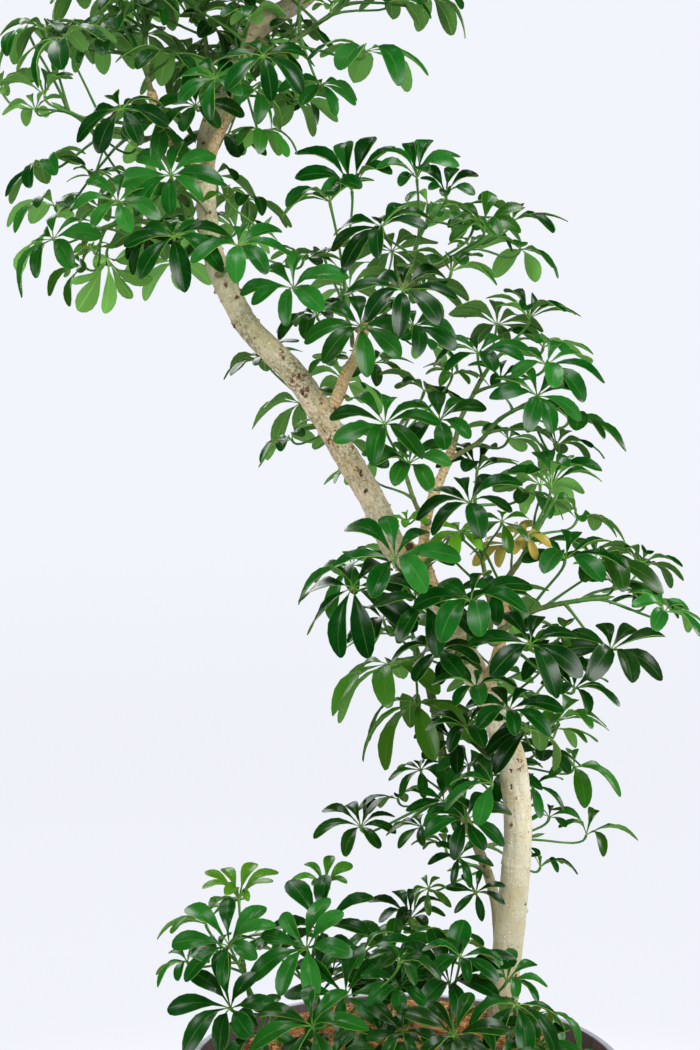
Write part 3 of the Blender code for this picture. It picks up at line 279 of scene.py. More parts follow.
# Marks on the bark: pixel across and down, half height and half width in mm, push outwards in mm, dark, tan
BARK_MARKS = [
    (519, 763, 7.5, 5.0, 1.8, 0.0, 0.38), (511, 771, 2.4, 1.5, -1.2, 1.0, 0.0),
    (511, 787, 2.8, 1.4, -1.2, 1.0, 0.0), (526, 905, 2.2, 1.4, -1.3, 1.0, 0.0),
    (297, 380, 7.5, 11.0, 0.5, 0.18, 0.45), (304, 391, 3.6, 6.0, 0.7, 0.45, 0.75),
    (303, 394, 1.6, 3.0, -1.2, 1.3, 0.9), (309, 392, 1.2, 1.6, -1.0, 1.2, 0.9),
    (318, 436, 3.0, 3.2, 1.1, 0.5, 0.8), (319, 437, 1.4, 1.6, -1.0, 1.1, 0.9),
    (330, 440, 3.5, 6.0, 0.5, 0.2, 0.45), (357, 469, 5.0, 2.6, 1.1, 0.4, 0.7),
    (360, 474, 2.0, 1.2, -0.8, 1.0, 0.9), (237, 298, 2.4, 2.2, 1.4, 0.5, 0.95),
    (226, 285, 2.4, 2.2, 1.0, 0.5, 0.95), (235, 326, 3.0, 2.0, 1.2, 0.6, 0.95),
    (322, 402, 3.0, 3.0, 0.9, 0.4, 0.6), (281, 352, 3.5, 5.0, 0.4, 0.2, 0.42),
    (441, 640, 5.0, 3.2, 0.9, 0.3, 0.2), (409, 546, 5.5, 5.5, 0.0, 1.0, 0.6),
    (500, 735, 6.0, 4.0, 0.8, 0.2, 0.3), (222, 300, 6.0, 4.0, 0.9, 0.3, 0.2),
    (509, 845, 4.0, 3.0, 0.7, 0.2, 0.2),
]
# Ring scars that go right round the trunk: pixel down, and how strong
RING_SCARS = [(868, 0.8), (842, 0.25), (816, 0.3), (738, 0.5), (705, 0.4), (620, 0.5), (585, 0.6), (530, 0.4)]

# Leaves whose leaflets are shorter than this, in metres, are young and flat
SMALL_LEAF = 0.034

# Edges sharper than these are drawn sharp
LEAF_EDGE = math.radians(62)
POT_EDGE = math.radians(35)
BED_EDGE = math.radians(60)
CHIP_EDGE = math.radians(30)

# The inner pot's base radius and wall, and the least and most length, width and thickness of a husk chip
NURSERY_BASE, NURSERY_SKIN = 0.118, 0.0016
CHIP_SIZES = ((0.004, 0.012), (0.003, 0.007), (0.0015, 0.0035))
FIBRE_RADIUS = 0.00036
POT_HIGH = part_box("pot")[1]
MULCH_LOW, MULCH_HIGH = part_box("mulch")
NURSERY_LOW, NURSERY_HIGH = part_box("nursery_pot")


def linear(colour):
    """The linear values of an sRGB colour such as #1a2b3c."""
    values = [int(colour[k:k + 2], 16) / 255 for k in (1, 3, 5)]
    return tuple(v / 12.92 if v <= 0.04045 else ((v + 0.055) / 1.055) ** 2.4 for v in values)


def length_setting(name, description, default, **limits):
    """A length in metres that the panel shows."""
    return FloatProperty(
        name=name, description=description, default=default, subtype="DISTANCE", unit="LENGTH", **limits
    )


def colour_setting(name, description, default):
    """A colour that the panel shows, given as sRGB and kept as linear."""
    return FloatVectorProperty(
        name=name, description=description, default=linear(default), subtype="COLOR", size=3, min=0, max=1
    )


class LeafSettings(bpy.types.PropertyGroup):
    """Sizes and colours of the leaves and the green stems."""

    thickness: length_setting("Blade thickness", "Thickness of a leaflet", 0.0005, min=0.0002, max=0.002)
    petiole: length_setting("Stalk radius", "Middle radius of a leaf stalk", 0.00115, min=0.0005, max=0.003)
    fold: FloatProperty(
        name="Fold", description="How far the blades fold up along the midrib", default=math.radians(19),
        min=0, max=math.radians(60), subtype="ANGLE", unit="ROTATION",
    )
    dark: colour_setting("Old leaf", "Darkest green of an old leaflet", "#001e03")
    middle: colour_setting("Full-grown leaf", "Usual green of a leaflet", "#034708")
    young: colour_setting("Young leaf", "Yellow-green of a young leaflet", "#5f9c1e")
    bronze: colour_setting("Bronze leaf", "Yellow bronze of the newest leaflets", "#a8923c")
    # The underside colour holds painted light shining through the leaf, on top of its own paler green
    underside_with_backlight: colour_setting("Underside", "Paler green below a leaflet", "#76b052")
    rib: colour_setting("Midrib", "Pale midrib and leaflet stalk", "#739e46")
    edge: colour_setting("Edge", "Thin pale edge of a leaflet", "#5d8a30")
    stalk: colour_setting("Stalk", "Olive green of a leaf stalk", "#42742a")


class WoodSettings(bpy.types.PropertyGroup):
    """Grain and colours of the trunk and the second stem."""

    voxel: length_setting("Grain", "Size of the mesh cells that join the limbs", 0.0015, min=0.001, max=0.005)
    relief: length_setting("Relief", "How far the bark swells and dips", 0.0006, min=0, max=0.003)
    pale: colour_setting("Pale bark", "Sunlit pale bark", "#d8d1bc")
    warm: colour_setting("Warm bark", "Warmer beige patches", "#cbb890")
    mossy: colour_setting("Green-grey bark", "Green-grey bark high on the trunk", "#a2a281")
    brown: colour_setting("Brown bark", "Brown bark of the second stem", "#7a6142")
    green: colour_setting("Green bark", "Green upper length of the second stem", "#43662a")


class PotSettings(bpy.types.PropertyGroup):
    """Sizes and colours of the two pots and the soil."""

    height: length_setting("Pot height", "Height of the outer pot", POT_HIGH.z, min=0.1, max=1)
    top_radius: length_setting("Pot top radius", "Radius of the outer pot's rim", POT_HIGH.x, min=0.05, max=1)
    base_radius: length_setting("Pot base radius", "Radius of the outer pot's foot", 0.140, min=0.05, max=1)
    wall: length_setting("Pot wall", "Wall thickness of the outer pot", 0.0065, min=0.002, max=0.03)
    floor: length_setting("Pot floor", "Floor thickness of the outer pot", 0.014, min=0.002, max=0.05)
    cement: colour_setting("Pot", "Lavender grey of the outer pot", "#a2a4b0")
    inside: colour_setting("Pot inside", "Dark brown-grey of the outer pot's inner wall", "#5a5053")
    # The inner wall's dark brown-grey is painted shade
    plastic: colour_setting("Inner pot", "Black of the inner pot", "#1c1c1d")
    soil: colour_setting("Soil", "Dark brown of the soil", "#33261b")


class MulchSettings(bpy.types.PropertyGroup):
    """How much fibre lies on the soil, and its colours."""

    fibres: IntProperty(name="Fibres", description="Number of loose fibres", default=2200, min=0, max=6000)
    chips: IntProperty(name="Chips", description="Number of husk chips", default=420, min=0, max=2000)
    light: colour_setting("Light fibre", "Light orange-brown fibre", "#d9985c")
    dark: colour_setting("Dark fibre", "Dark brown fibre", "#96592f")


class StudioSettings(bpy.types.PropertyGroup):
    """The plain studio."""

    radius: length_setting("Radius", "Distance of the curved backdrop", 6.5, min=3, max=20)
    height: length_setting("Height", "Height of the backdrop", 5.0, min=1, max=20)
    pale: colour_setting("Backdrop", "Pale floor and backdrop in the lamps' light", "#f4f5f8")
    glow: colour_setting("Glow", "Even light that comes through the floor and backdrop", "#f6f8ff")


def merged_copy(node):
    """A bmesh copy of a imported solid, with its loose triangles merged."""
    shape = bmesh.new()
    shape.from_mesh(node.data)
    bmesh.ops.remove_doubles(shape, verts=shape.verts, dist=MERGE)
    return shape


def mesh_from(name, shape):
    """A mesh from a bmesh, which is then freed."""
    mesh = bpy.data.meshes.new(name)
    shape.to_mesh(mesh)
    shape.free()
    return mesh


def place_object(name, data):
    """A new object of the scene with this mesh, curve, light or camera."""
    made = bpy.data.objects.new(name, data)
    bpy.context.scene.collection.objects.link(made)
    return made


def settled_mesh(piece):
    """The piece's mesh with its modifiers applied."""
    graph = bpy.context.evaluated_depsgraph_get()
    mesh = bpy.data.meshes.new_from_object(piece.evaluated_get(graph))
    piece.modifiers.clear()
    return mesh


def add_piece(name, shape, materials, node, sharp=None):
    """A finished piece from a bmesh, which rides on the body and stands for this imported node."""
    piece = place_object(name, mesh_from(name, shape))
    finish_piece(piece, materials, node, sharp)
    return piece


def finish_piece(piece, materials, node, sharp=None):
    """A piece's materials and smooth shading, and what the frame has to know of it."""
    for finish in materials:
        piece.data.materials.append(finish)
    piece.data.shade_smooth()
    if sharp is not None:
        piece.data.set_sharp_from_angle(angle=sharp)
    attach(piece, BODY)
    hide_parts(node)


def spot(across, down, depth):
    """The place, in metres, that shows at this pixel, `depth` millimetres behind the pot's axis."""
    away = -EYE.y + depth / 1000
    return Vector((
        EYE.x + (across - PICTURE[0] / 2) / FOCAL_PIXELS * away,
        depth / 1000,
        EYE.z - (down - PICTURE[1] / 2) / FOCAL_PIXELS * away,
    ))


def seen_at(place):
    """The pixel across and down at which this place shows."""
    away = place.y - EYE.y
    return (
        PICTURE[0] / 2 + (place.x - EYE.x) / away * FOCAL_PIXELS,
        PICTURE[1] / 2 - (place.z - EYE.z) / away * FOCAL_PIXELS,
    )


def curve_through(points, values, step):
    """Places and values along a Catmull-Rom curve through the points, about `step` apart."""
    padded = [points[0] * 2 - points[1], *points, points[-1] * 2 - points[-2]]
    places, levels = [points[0]], [values[0]]
    for index in range(len(points) - 1):
        before, start, end, after = padded[index:index + 4]
        pieces = max(1, round((end - start).length / step))
        for piece in range(1, pieces + 1):
            t = piece / pieces
            places.append(0.5 * (
                2 * start + (end - before) * t + (2 * before - 5 * start + 4 * end - after) * t**2
                + (3 * start - before - 3 * end + after) * t**3
            ))
            levels.append(values[index] + (values[index + 1] - values[index]) * t)
    return places, levels


def ring_frames(places, radii):
    """A matrix for each ring of a tube, which turns as little as it can from one ring to the next."""
    side = (places[1] - places[0]).orthogonal().normalized()
    frames = []
    for index, (place, radius) in enumerate(zip(places, radii)):
        heading = (places[min(index + 1, len(places) - 1)] - places[max(index - 1, 0)]).normalized()
        side = (side - heading * side.dot(heading)).normalized()
        other = heading.cross(side)
        turned = Matrix((side, other, heading)).transposed().to_4x4()
        frames.append(Matrix.Translation(place) @ turned @ Matrix.Scale(radius, 4))
    return frames


def sweep(shape, places, radii, sides):
    """A closed tube round the places, extruded ring by ring from a circle. Gives its rings of corners."""
    frames = ring_frames(places, radii)
    ring = bmesh.ops.create_circle(shape, cap_ends=False, segments=sides, radius=1, matrix=frames[0])["verts"]
    edges = list({edge for corner in ring for edge in corner.link_edges})
    rings, ends = [ring], [edges]
    for before, after in zip(frames, frames[1:]):
        geometry = bmesh.ops.extrude_edge_only(shape, edges=edges)["geom"]
        ring = [item for item in geometry if isinstance(item, bmesh.types.BMVert)]
        corners = set(ring)
        edges = [
            item for item in geometry
            if isinstance(item, bmesh.types.BMEdge) and item.verts[0] in corners and item.verts[1] in corners
        ]
        bmesh.ops.transform(shape, matrix=after @ before.inverted(), verts=ring)
        rings.append(ring)
    ends.append(edges)
    for rim in ends:
        bmesh.ops.contextual_create(shape, geom=rim)
    return rings


def turned_shape(profile, steps, rounded):
    """A solid turned about the upright axis from rows of radius and height. `rounded` softens some rows."""
    shape = bmesh.new()
    line = [shape.verts.new((radius, 0, height)) for radius, height in profile]
    edges = [shape.edges.new(pair) for pair in zip(line, line[1:])]
    bmesh.ops.spin(
        shape, geom=line + edges, cent=(0, 0, 0), axis=(0, 0, 1), dvec=(0, 0, 0),
        angle=math.tau, steps=steps, use_merge=True,
    )
    bmesh.ops.remove_doubles(shape, verts=shape.verts, dist=MERGE)
    bmesh.ops.recalc_face_normals(shape, faces=shape.faces)
    for row, softness in rounded.items():
        radius, height = profile[row]
        rim = [
            edge for edge in shape.edges
            if all(
                abs(corner.co.z - height) < MERGE and abs(corner.co.xy.length - radius) < MERGE
                for corner in edge.verts
            )
        ]
        bmesh.ops.bevel(
            shape, geom=rim, offset=softness, segments=4, profile=0.5, affect="EDGES", material=-1,
            offset_type="OFFSET", clamp_overlap=True,
        )
    return shape


# Shader nodes

# Which output is wanted, where it isn't the first
USUAL_OUTPUT = {
    "Mix": 2, "TexCoord": "Object", "Attribute": "Vector", "TexWave": "Fac", "VectorMath": "Value",
    "SeparateXYZ": slice(0, 3),
}
# The inputs of a colour mix: its share and its two colours
MIX_INPUTS = (0, 6, 7)


def scaled(colour, share):
    """This linear colour made darker or lighter."""
    return tuple(min(1, value * share) for value in colour)


def add(tree, kind, *feeds, stops=(), **settings):
    """Adds a node and gives its usual output.

    What follows the kind feeds the inputs in their order: for MapRange the value, its range and the range it
    turns into, and for Mix the share and two colours. A name with a capital feeds the input of that name, and
    any other name is a setting. Mix blends colours, and Math multiplies unless it is told otherwise.
    """
    node = tree.nodes.new("ShaderNode" + kind)
    if kind == "Mix":
        node.data_type = "RGBA"
    if kind == "Math":
        node.operation = "MULTIPLY"
    inputs = dict(zip(MIX_INPUTS if kind == "Mix" else range(len(feeds)), feeds))
    for name, value in settings.items():
        if name[0].isupper():
            inputs[name.replace("_", " ")] = value
        else:
            setattr(node, name, value)
    for key, value in inputs.items():
        socket = node.inputs[key]
        if isinstance(value, bpy.types.NodeSocket):
            tree.links.new(value, socket)
        elif socket.type == "RGBA":
            socket.default_value = (*(linear(value) if isinstance(value, str) else value), 1)
        else:
            socket.default_value = value
    for number, (position, colour) in enumerate(stops):
        ramp = node.color_ramp.elements
        element = ramp[number] if number < len(ramp) else ramp.new(1.0)
        element.position = position
        element.color = (*colour, 1)
    return node.outputs[USUAL_OUTPUT.get(kind, 0)]


def start_material(name, **sockets):
    """A new material with one Principled shader, whose plain values are set on its own sockets."""
    made = bpy.data.materials.new(name)
    made.use_nodes = True
    for key, value in sockets.items():
        made.node_tree.nodes["Principled BSDF"].inputs[key.replace("_", " ")].default_value = value
    return made, made.node_tree


def dress(made, colour, coats=(), gloss=None, relief=None, strength=1.0, distance=0.001, **settings):
    """Lays coats, each with share and colour, over a colour, and links it, gloss and relief to the shader."""
    tree = made.node_tree
    shader = tree.nodes["Principled BSDF"]
    for share, coat in coats:
        colour = add(tree, "Mix", share, colour, coat)
    tree.links.new(colour, shader.inputs["Base Color"])
    if gloss:
        tree.links.new(gloss, shader.inputs["Roughness"])
    if relief:
        bump = add(tree, "Bump", Height=relief, Strength=strength, Distance=distance, **settings)
        tree.links.new(bump, shader.inputs["Normal"])
    return made


def leaf_blade(name, settings, upper):
    """Leaf blade: upper side a thick waxy skin with broad soft highlights, underside dull and paler, partly
    with painted light shining through it.
    """
    if upper:
        made, tree = start_material(name, IOR=1.45, Specular_IOR_Level=0.25)
        brightness, roughness = (0.40, 2.25), (0.24, 0.34)
        vein_share, vein_relief, rib_share, line = 0.02, -0.05, 0.2, settings.rib
    else:
        made, tree = start_material(name, IOR=1.40, Specular_IOR_Level=0.2)
        brightness, roughness = (0.5, 1.7), (0.44, 0.60)
        vein_share, vein_relief, rib_share, line = 0.22, 0.2, 0.7, scaled(settings.rib, 2.0)
    side, along, youth = add(tree, "SeparateXYZ", add(tree, "Attribute", attribute_name="blade"))
    shade, _, bronze = add(tree, "SeparateXYZ", add(tree, "Attribute", attribute_name="chance"))
    # Cloudy patches some 15 mm wide
    cloud = add(tree, "TexNoise", add(tree, "TexCoord"), Scale=65.0, Detail=3.0, Roughness=0.55)
    across = add(tree, "Math", side, operation="ABSOLUTE")
    # Side veins run out and forward, about 4 mm apart
    slope = add(tree, "Math", across, -0.14, along, operation="MULTIPLY_ADD")
    wave = add(tree, "Math", add(tree, "Math", slope, 75.0), operation="SINE")
    veins = add(tree, "MapRange", wave, 0.80, 1.0)
    rib = add(tree, "MapRange", across, 0.055, 0.02)
    rim = add(tree, "MapRange", across, 0.93, 0.975)
    stalk = add(tree, "MapRange", along, BLADE_START + 0.04, BLADE_START - 0.02)
    body = add(tree, "Mix", cloud, settings.dark, settings.middle)
    # The underside is its own paler green, painted paler still for the light that shines through the leaf
    if not upper:
        body = add(tree, "Mix", 0.78, body, settings.underside_with_backlight)
    # Each leaflet is a little lighter or darker than its neighbours, and the lightest get a pale painted
    # sheen
    shift = add(tree, "MapRange", shade, 0.05, 0.8, *brightness)
    varied = add(tree, "Mix", 1.0, body, add(tree, "CombineXYZ", shift, shift, shift), blend_type="MULTIPLY")
    painted_sheen = add(tree, "MapRange", shade, 0.40, 0.85, 0.0, 0.08)
    ribbed = add(tree, "Math", rib, rib_share)
    pale = add(tree, "Math", ribbed, add(tree, "Math", stalk, 0.5), operation="MAXIMUM")
    coats = (
        # The first coat is the painted sheen
        (painted_sheen, "#6fb05e"), (youth, add(tree, "Mix", bronze, settings.young, settings.bronze)),
        (add(tree, "Math", veins, vein_share), settings.rib), (pale, line),
        (add(tree, "Math", rim, 0.25), settings.edge),
    )
    gloss = add(tree, "MapRange", cloud, 0.3, 0.7, *roughness)
    relief = add(tree, "Math", veins, vein_relief, cloud, operation="MULTIPLY_ADD")
    return dress(made, varied, coats, gloss, relief, 0.08, 0.0003)


def leaf_margin(settings):
    """Leaf margin: the thin pale rim of gristle round a blade, brown in places, which draws its outline."""
    made, tree = start_material("leaf_margin", IOR=1.40, Roughness=0.5)
    dry = add(tree, "TexNoise", add(tree, "TexCoord"), Scale=120.0, Detail=3.0)
    return dress(made, add(tree, "Mix", add(tree, "MapRange", dry, 0.56, 0.68), settings.edge, "#8a6a34"))


def green_stalk(settings):
    """Green stem and leaf stalk: smooth olive skin, browner and duller where older, pale at the leaf."""
    made, tree = start_material("green_stalk", IOR=1.42)
    wood, light, scar = add(tree, "SeparateXYZ", add(tree, "Attribute", attribute_name="stalk"))
    place = add(tree, "TexCoord")
    cloud = add(tree, "TexNoise", place, Scale=130.0, Detail=4.0, Roughness=0.6)
    speck = add(tree, "MapRange", add(tree, "TexVoronoi", place, Scale=380.0), 0.24, 0.14)
    green = add(tree, "Mix", cloud, scaled(settings.stalk, 0.65), scaled(settings.stalk, 1.35))
    age = add(tree, "Math", wood, add(tree, "MapRange", cloud, 0.25, 0.6))
    corky = add(tree, "Math", speck, wood)
    coats = ((age, "#8b7a58"), (light, settings.rib), (corky, "#c9bf9c"), (scar, "#3d2f1d"))
    gloss = add(tree, "MapRange", wood, 0.0, 1.0, 0.42, 0.7)
    return dress(made, green, coats, gloss, cloud, 0.4, 0.0004)


def smooth_bark(name, pale, warm, high, heights, least, darkness):
    """Smooth thin bark: pale and dry, with corky dots, thin ring scars and grey-green growth on it."""
    made, tree = start_material(name, IOR=1.40)
    skin = add(tree, "Attribute", attribute_name="bark")
    dark, wart, branch = add(tree, "SeparateXYZ", add(tree, "Attribute", attribute_name="marks"))
    height = add(tree, "SeparateXYZ", add(tree, "TexCoord"))[2]
    # Patches 20 to 40 mm wide, mottling of 4 mm, and fine upright cracks 1 mm apart
    patches = add(tree, "TexNoise", skin, Scale=34.0, Detail=5.0, Roughness=0.62)
    mottle = add(tree, "TexNoise", skin, Scale=240.0, Detail=4.0, Roughness=0.65)
    drawn = add(tree, "Mapping", skin, Scale=(1.0, 1.0, 0.12))
    cracks = add(tree, "TexNoise", drawn, Scale=620.0, Detail=3.0, Roughness=0.6)
    # Corky dots about 1 mm across, 7 mm apart
    flat = add(tree, "Mapping", skin, Scale=(1.0, 1.0, 1.5))
    cork = add(tree, "MapRange", add(tree, "TexVoronoi", flat, Scale=150.0, Randomness=1.0), 0.19, 0.10)
    # Thin ring scars about 11 mm apart, and leaf scars about 3 mm apart on the side branches
    thin, close = (
        add(
            tree, "TexWave", skin, Scale=scale, Distortion=bent, Detail=detail, Detail_Scale=fine,
            wave_type="BANDS", bands_direction="Z",
        )
        for scale, bent, detail, fine in ((28.0, 5.5, 2.0, 1.6), (95.0, 7.0, 4.0, 3.5))
    )
    rings = add(tree, "MapRange", thin, 0.95, 1.0)
    patchy = add(tree, "MapRange", patches, 0.42, 0.60)
    on_branch = add(tree, "Math", branch, add(tree, "MapRange", patchy, 0.0, 1.0, 0.35, 1.0))
    scars = add(tree, "Math", add(tree, "MapRange", close, 0.78, 1.0, 0.0, 0.6), on_branch)
    rise = add(tree, "MapRange", height, *heights)
    # The top of the trunk is cleaner again, and painted lighter there against the shade of the crown
    cleaner_and_painted_lighter = add(tree, "MapRange", height, 1.00, 1.08, 1.0, 0.3)
    mossy = add(tree, "MapRange", mottle, 0.30, 0.62, least, 1.0)
    growth = add(tree, "Math", mossy, add(tree, "Math", rise, cleaner_and_painted_lighter))
    wear = add(tree, "MapRange", height, 0.66, 0.82, 0.0, 0.45)
    # Painted shade: the foot, low in the shade of the leaves, is painted greyer
    painted_foot_shade = add(tree, "MapRange", height, 0.62, 0.45, 0.0, 0.7)
    # Grey-green film in patches of about 25 mm, broken up into specks of 2 mm
    film = add(tree, "TexNoise", skin, Scale=40.0, Detail=3.0, Roughness=0.6, Distortion=0.6)
    specks = add(tree, "TexNoise", skin, Scale=430.0, Detail=4.0, Roughness=0.7)
    broken = add(tree, "MapRange", specks, 0.42, 0.60, 0.0, 0.9)
    filmed = add(tree, "Math", add(tree, "MapRange", film, 0.36, 0.56), broken)
    # The film fades on the cleaner, painted-lighter top too
    rising = add(tree, "Math", add(tree, "MapRange", height, 0.72, 0.86, 0.12, 1.0), cleaner_and_painted_lighter)
    # Flecks and cracks are fewer on bark with growth, and on the smooth bark low down
    bare = add(tree, "Math", rise, -least, 1.0, operation="MULTIPLY_ADD")
    rougher = add(tree, "Math", bare, add(tree, "MapRange", height, 0.52, 0.64, 0.35, 1.0))
    fleck = add(tree, "Math", add(tree, "MapRange", mottle, 0.52, 0.62, 0.0, 0.45), rougher)
    fine = add(tree, "Math", add(tree, "MapRange", cracks, 0.50, 0.66, 0.0, 0.42), rougher)
    flakes = add(tree, "Mix", add(tree, "MapRange", specks, 0.46, 0.58), "#c08f48", "#dcc692")
    # Warts and scars have ragged edges
    ragged = add(tree, "Math", specks, 2.8, -1.4, operation="MULTIPLY_ADD")
    tan = add(tree, "MapRange", add(tree, "Math", wart, ragged, operation="ADD"), 0.34, 0.52)
    pits = add(tree, "MapRange", add(tree, "Math", dark, ragged, operation="ADD"), 0.50, 0.70)
    coats = (
        # The second coat is the painted shade on the foot
        (wear, scaled(warm, 0.9)), (painted_foot_shade, "#a3a083"), (growth, high),
        (add(tree, "Math", filmed, rising), "#676c50"), (fleck, "#957348"), (fine, "#7b6445"),
        (add(tree, "Math", rings, 0.12), "#9c8258"),
        (add(tree, "Math", cork, 0.7), "#e6dfc8"),
        (add(tree, "Math", branch, add(tree, "MapRange", mottle, 0.40, 0.58, 0.15, 0.95)), flakes),
        (scars, "#54402a"),
        (tan, add(tree, "Mix", add(tree, "MapRange", mottle, 0.40, 0.60), "#93704a", "#553a20")),
        (pits, "#3f2c1b"),
    )
    gloss = add(tree, "MapRange", mottle, 0.0, 1.0, 0.55, 0.85)
    coarse = add(tree, "Math", cork, 0.8, mottle, operation="MULTIPLY_ADD")
    lines = add(tree, "Math", rings, 0.12, scars, operation="MULTIPLY_ADD")
    lined = add(tree, "Math", lines, -1.0, coarse, operation="MULTIPLY_ADD")
    fissured = add(tree, "Math", cracks, -darkness, lined, operation="MULTIPLY_ADD")
    return dress(made, add(tree, "Mix", patchy, pale, warm), coats, gloss, fissured, 0.9, 0.0009)


def coconut_fibre(name, settings, scale):
    """Coconut fibre: dry, dull strands from straw to dark brown, each with its own shade."""
    made, tree = start_material(name, IOR=1.35, Roughness=0.9, Sheen_Weight=0.15)
    place = add(tree, "TexCoord")
    shade = add(tree, "TexNoise", place, Scale=scale, Detail=3.0, Roughness=0.7)
    tint = add(tree, "ValToRGB", shade, stops=(
        (0.30, scaled(settings.dark, 0.45)), (0.45, settings.dark), (0.56, settings.light),
        (0.72, scaled(settings.light, 1.35)),
    ))
    strands = add(tree, "TexNoise", place, Scale=900.0, Detail=2.0)
    return dress(made, tint, relief=strands, strength=0.6, distance=0.0005)


def fibre_cement(settings):
    """Painted fibre cement: a dull, faintly uneven skin with fine grit and small pores."""
    made, tree = start_material("fibre_cement", IOR=1.45)
    place = add(tree, "TexCoord")
    cloud = add(tree, "TexNoise", place, Scale=14.0, Detail=5.0, Roughness=0.6)
    # Grit of about 1.5 mm, drawn coarser than real so that it shows
    grit = add(tree, "TexNoise", place, Scale=520.0, Detail=3.0, Roughness=0.7)
    pore = add(tree, "MapRange", add(tree, "TexVoronoi", place, Scale=150.0), 0.13, 0.07)
    tint = add(tree, "ValToRGB", cloud, stops=(
        (0.35, scaled(settings.cement, 0.88)), (0.65, scaled(settings.cement, 1.08)),
    ))
    # Painted shade: the inner wall, below the rim, is painted darker brown-grey, with upright streaks
    drawn = add(tree, "Mapping", place, Scale=(1.0, 1.0, 0.08))
    streaks = add(tree, "TexNoise", drawn, Scale=160.0, Detail=3.0)
    bare = add(tree, "ValToRGB", streaks, stops=(
        (0.3, scaled(settings.inside, 0.7)), (0.7, scaled(settings.inside, 1.3)),
    ))
    slope = (settings.top_radius - settings.base_radius) / settings.height
    x, y, z = add(tree, "SeparateXYZ", place)
    girth = add(tree, "VectorMath", add(tree, "CombineXYZ", x, y), operation="LENGTH")
    upright = add(tree, "Math", z, -slope, girth, operation="MULTIPLY_ADD")
    inner_skin = settings.base_radius - settings.wall
    coats = (
        (add(tree, "MapRange", grit, 0.55, 0.75, 0.0, 0.3), scaled(settings.cement, 0.55)),
        (add(tree, "Math", pore, 0.5), scaled(settings.cement, 0.35)),
        # Painted shade on the inner wall
        (add(tree, "MapRange", upright, inner_skin + 0.0008, inner_skin + 0.0002), bare),
    )
    gloss = add(tree, "MapRange", grit, 0.0, 1.0, 0.62, 0.9)
    relief = add(tree, "Math", pore, -1.0, grit, operation="MULTIPLY_ADD")
    return dress(made, tint, coats, gloss, relief, 0.4, 0.0004)


def nursery_plastic(settings):
    """Thin moulded polypropylene: black, half dull, with a light dusting of soil."""
    made, tree = start_material("nursery_plastic", IOR=1.49)
    dust = add(tree, "TexNoise", add(tree, "TexCoord"), Scale=45.0, Detail=6.0, Roughness=0.7)
    tint = add(tree, "Mix", add(tree, "MapRange", dust, 0.5, 0.75, 0.0, 0.4), settings.plastic, "#4a3b2c")
    return dress(made, tint, (), add(tree, "MapRange", dust, 0.0, 1.0, 0.35, 0.7), dust, 0.2, 0.0005)


def potting_soil(settings):
    """Potting soil: dark moist crumbs of peat with a few pale grains, and painted shade in the gaps between
    the crumbs.
    """
    made, tree = start_material("potting_soil", IOR=1.35)
    place = add(tree, "TexCoord")
    # Crumbs of about 4 mm, and pale grains of 1.5 mm
    crumbs = add(tree, "TexVoronoi", place, Scale=260.0)
    grains = add(tree, "TexVoronoi", place, Scale=110.0)
    # Each crumb is lighter in its middle and painted darker towards its edges, where the relief sinks:
    # painted shade between the crumbs
    tint = add(tree, "ValToRGB", crumbs, stops=(
        (0.1, scaled(settings.soil, 1.7)), (0.75, scaled(settings.soil, 0.5)),
    ))
    coats = ((add(tree, "MapRange", grains, 0.12, 0.08, 0.0, 0.7), "#b9ae9c"),)
    gloss = add(tree, "MapRange", crumbs, 0.0, 1.0, 0.75, 0.98)
    return dress(made, tint, coats, gloss, crumbs, 0.9, 0.002, invert=True)


def studio_paper(settings):
    """Seamless background paper: matte and near white, evenly bright."""
    made, tree = start_material(
        "studio_paper", Roughness=0.95, Specular_IOR_Level=0.1, Emission_Strength=0.96
    )
    place = add(tree, "TexCoord")
    # Round the pot the paper takes its light from the lamps, so that shadows show on it
    lit = add(tree, "MapRange", add(tree, "VectorMath", place, operation="LENGTH"), 1.2, 0.35)
    # The floor glows a little less than the wall
    wall = add(tree, "MapRange", add(tree, "SeparateXYZ", place)[2], 0.0, 0.7)
    high = add(tree, "Mix", wall, scaled(settings.glow, 0.965), settings.glow)
    glow = add(tree, "Mix", lit, high, scaled(settings.glow, 0.5))
    tree.links.new(glow, tree.nodes["Principled BSDF"].inputs["Emission Color"])
    return dress(made, add(tree, "Mix", lit, scaled(settings.pale, 0.015), scaled(settings.pale, 0.42)))


# Wood

Limb = namedtuple("Limb", "places radii frames")
# How far apart the limbs lie on straightened bark, in metres, so that no two have the same grain
BRANCH_OFFSET = 7.3
# How far apart the rings of a limb lie, in metres
LIMB_STEP = 0.002
# How far a corky wart stands out, and half the width of a ring scar
WART_HEIGHT = 0.0020
SCAR_WIDTH = 0.0014
# Heights, and the share of corky spots that are warts there, and how rough the bark is
WARTS = ((0.40, 0.62, 0.76, 0.95, 1.1), (0.36, 0.40, 0.58, 0.58, 0.50))
SWELLS = ((0.40, 0.60, 0.74, 0.90, 1.0), (0.6, 0.8, 1.4, 1.6, 1.2))


def limb_line(rows, foot=None):
    """A length of wood through these rows, from its foot in the soil where it has one."""
    points = [spot(*row[:3]) for row in rows]
    places, radii = curve_through(points, [row[3] / 1000 for row in rows], LIMB_STEP)
    if foot:
        across, depth, height = foot
        bottom = spot(across, rows[0][1], depth)
        bottom.z = height
        more = max(1, round((places[0] - bottom).length / LIMB_STEP))
        places = [bottom.lerp(places[0], k / more) for k in range(more)] + places
        radii = [radii[0]] * more + radii
    return Limb(places, radii, ring_frames(places, [1.0] * len(places)))


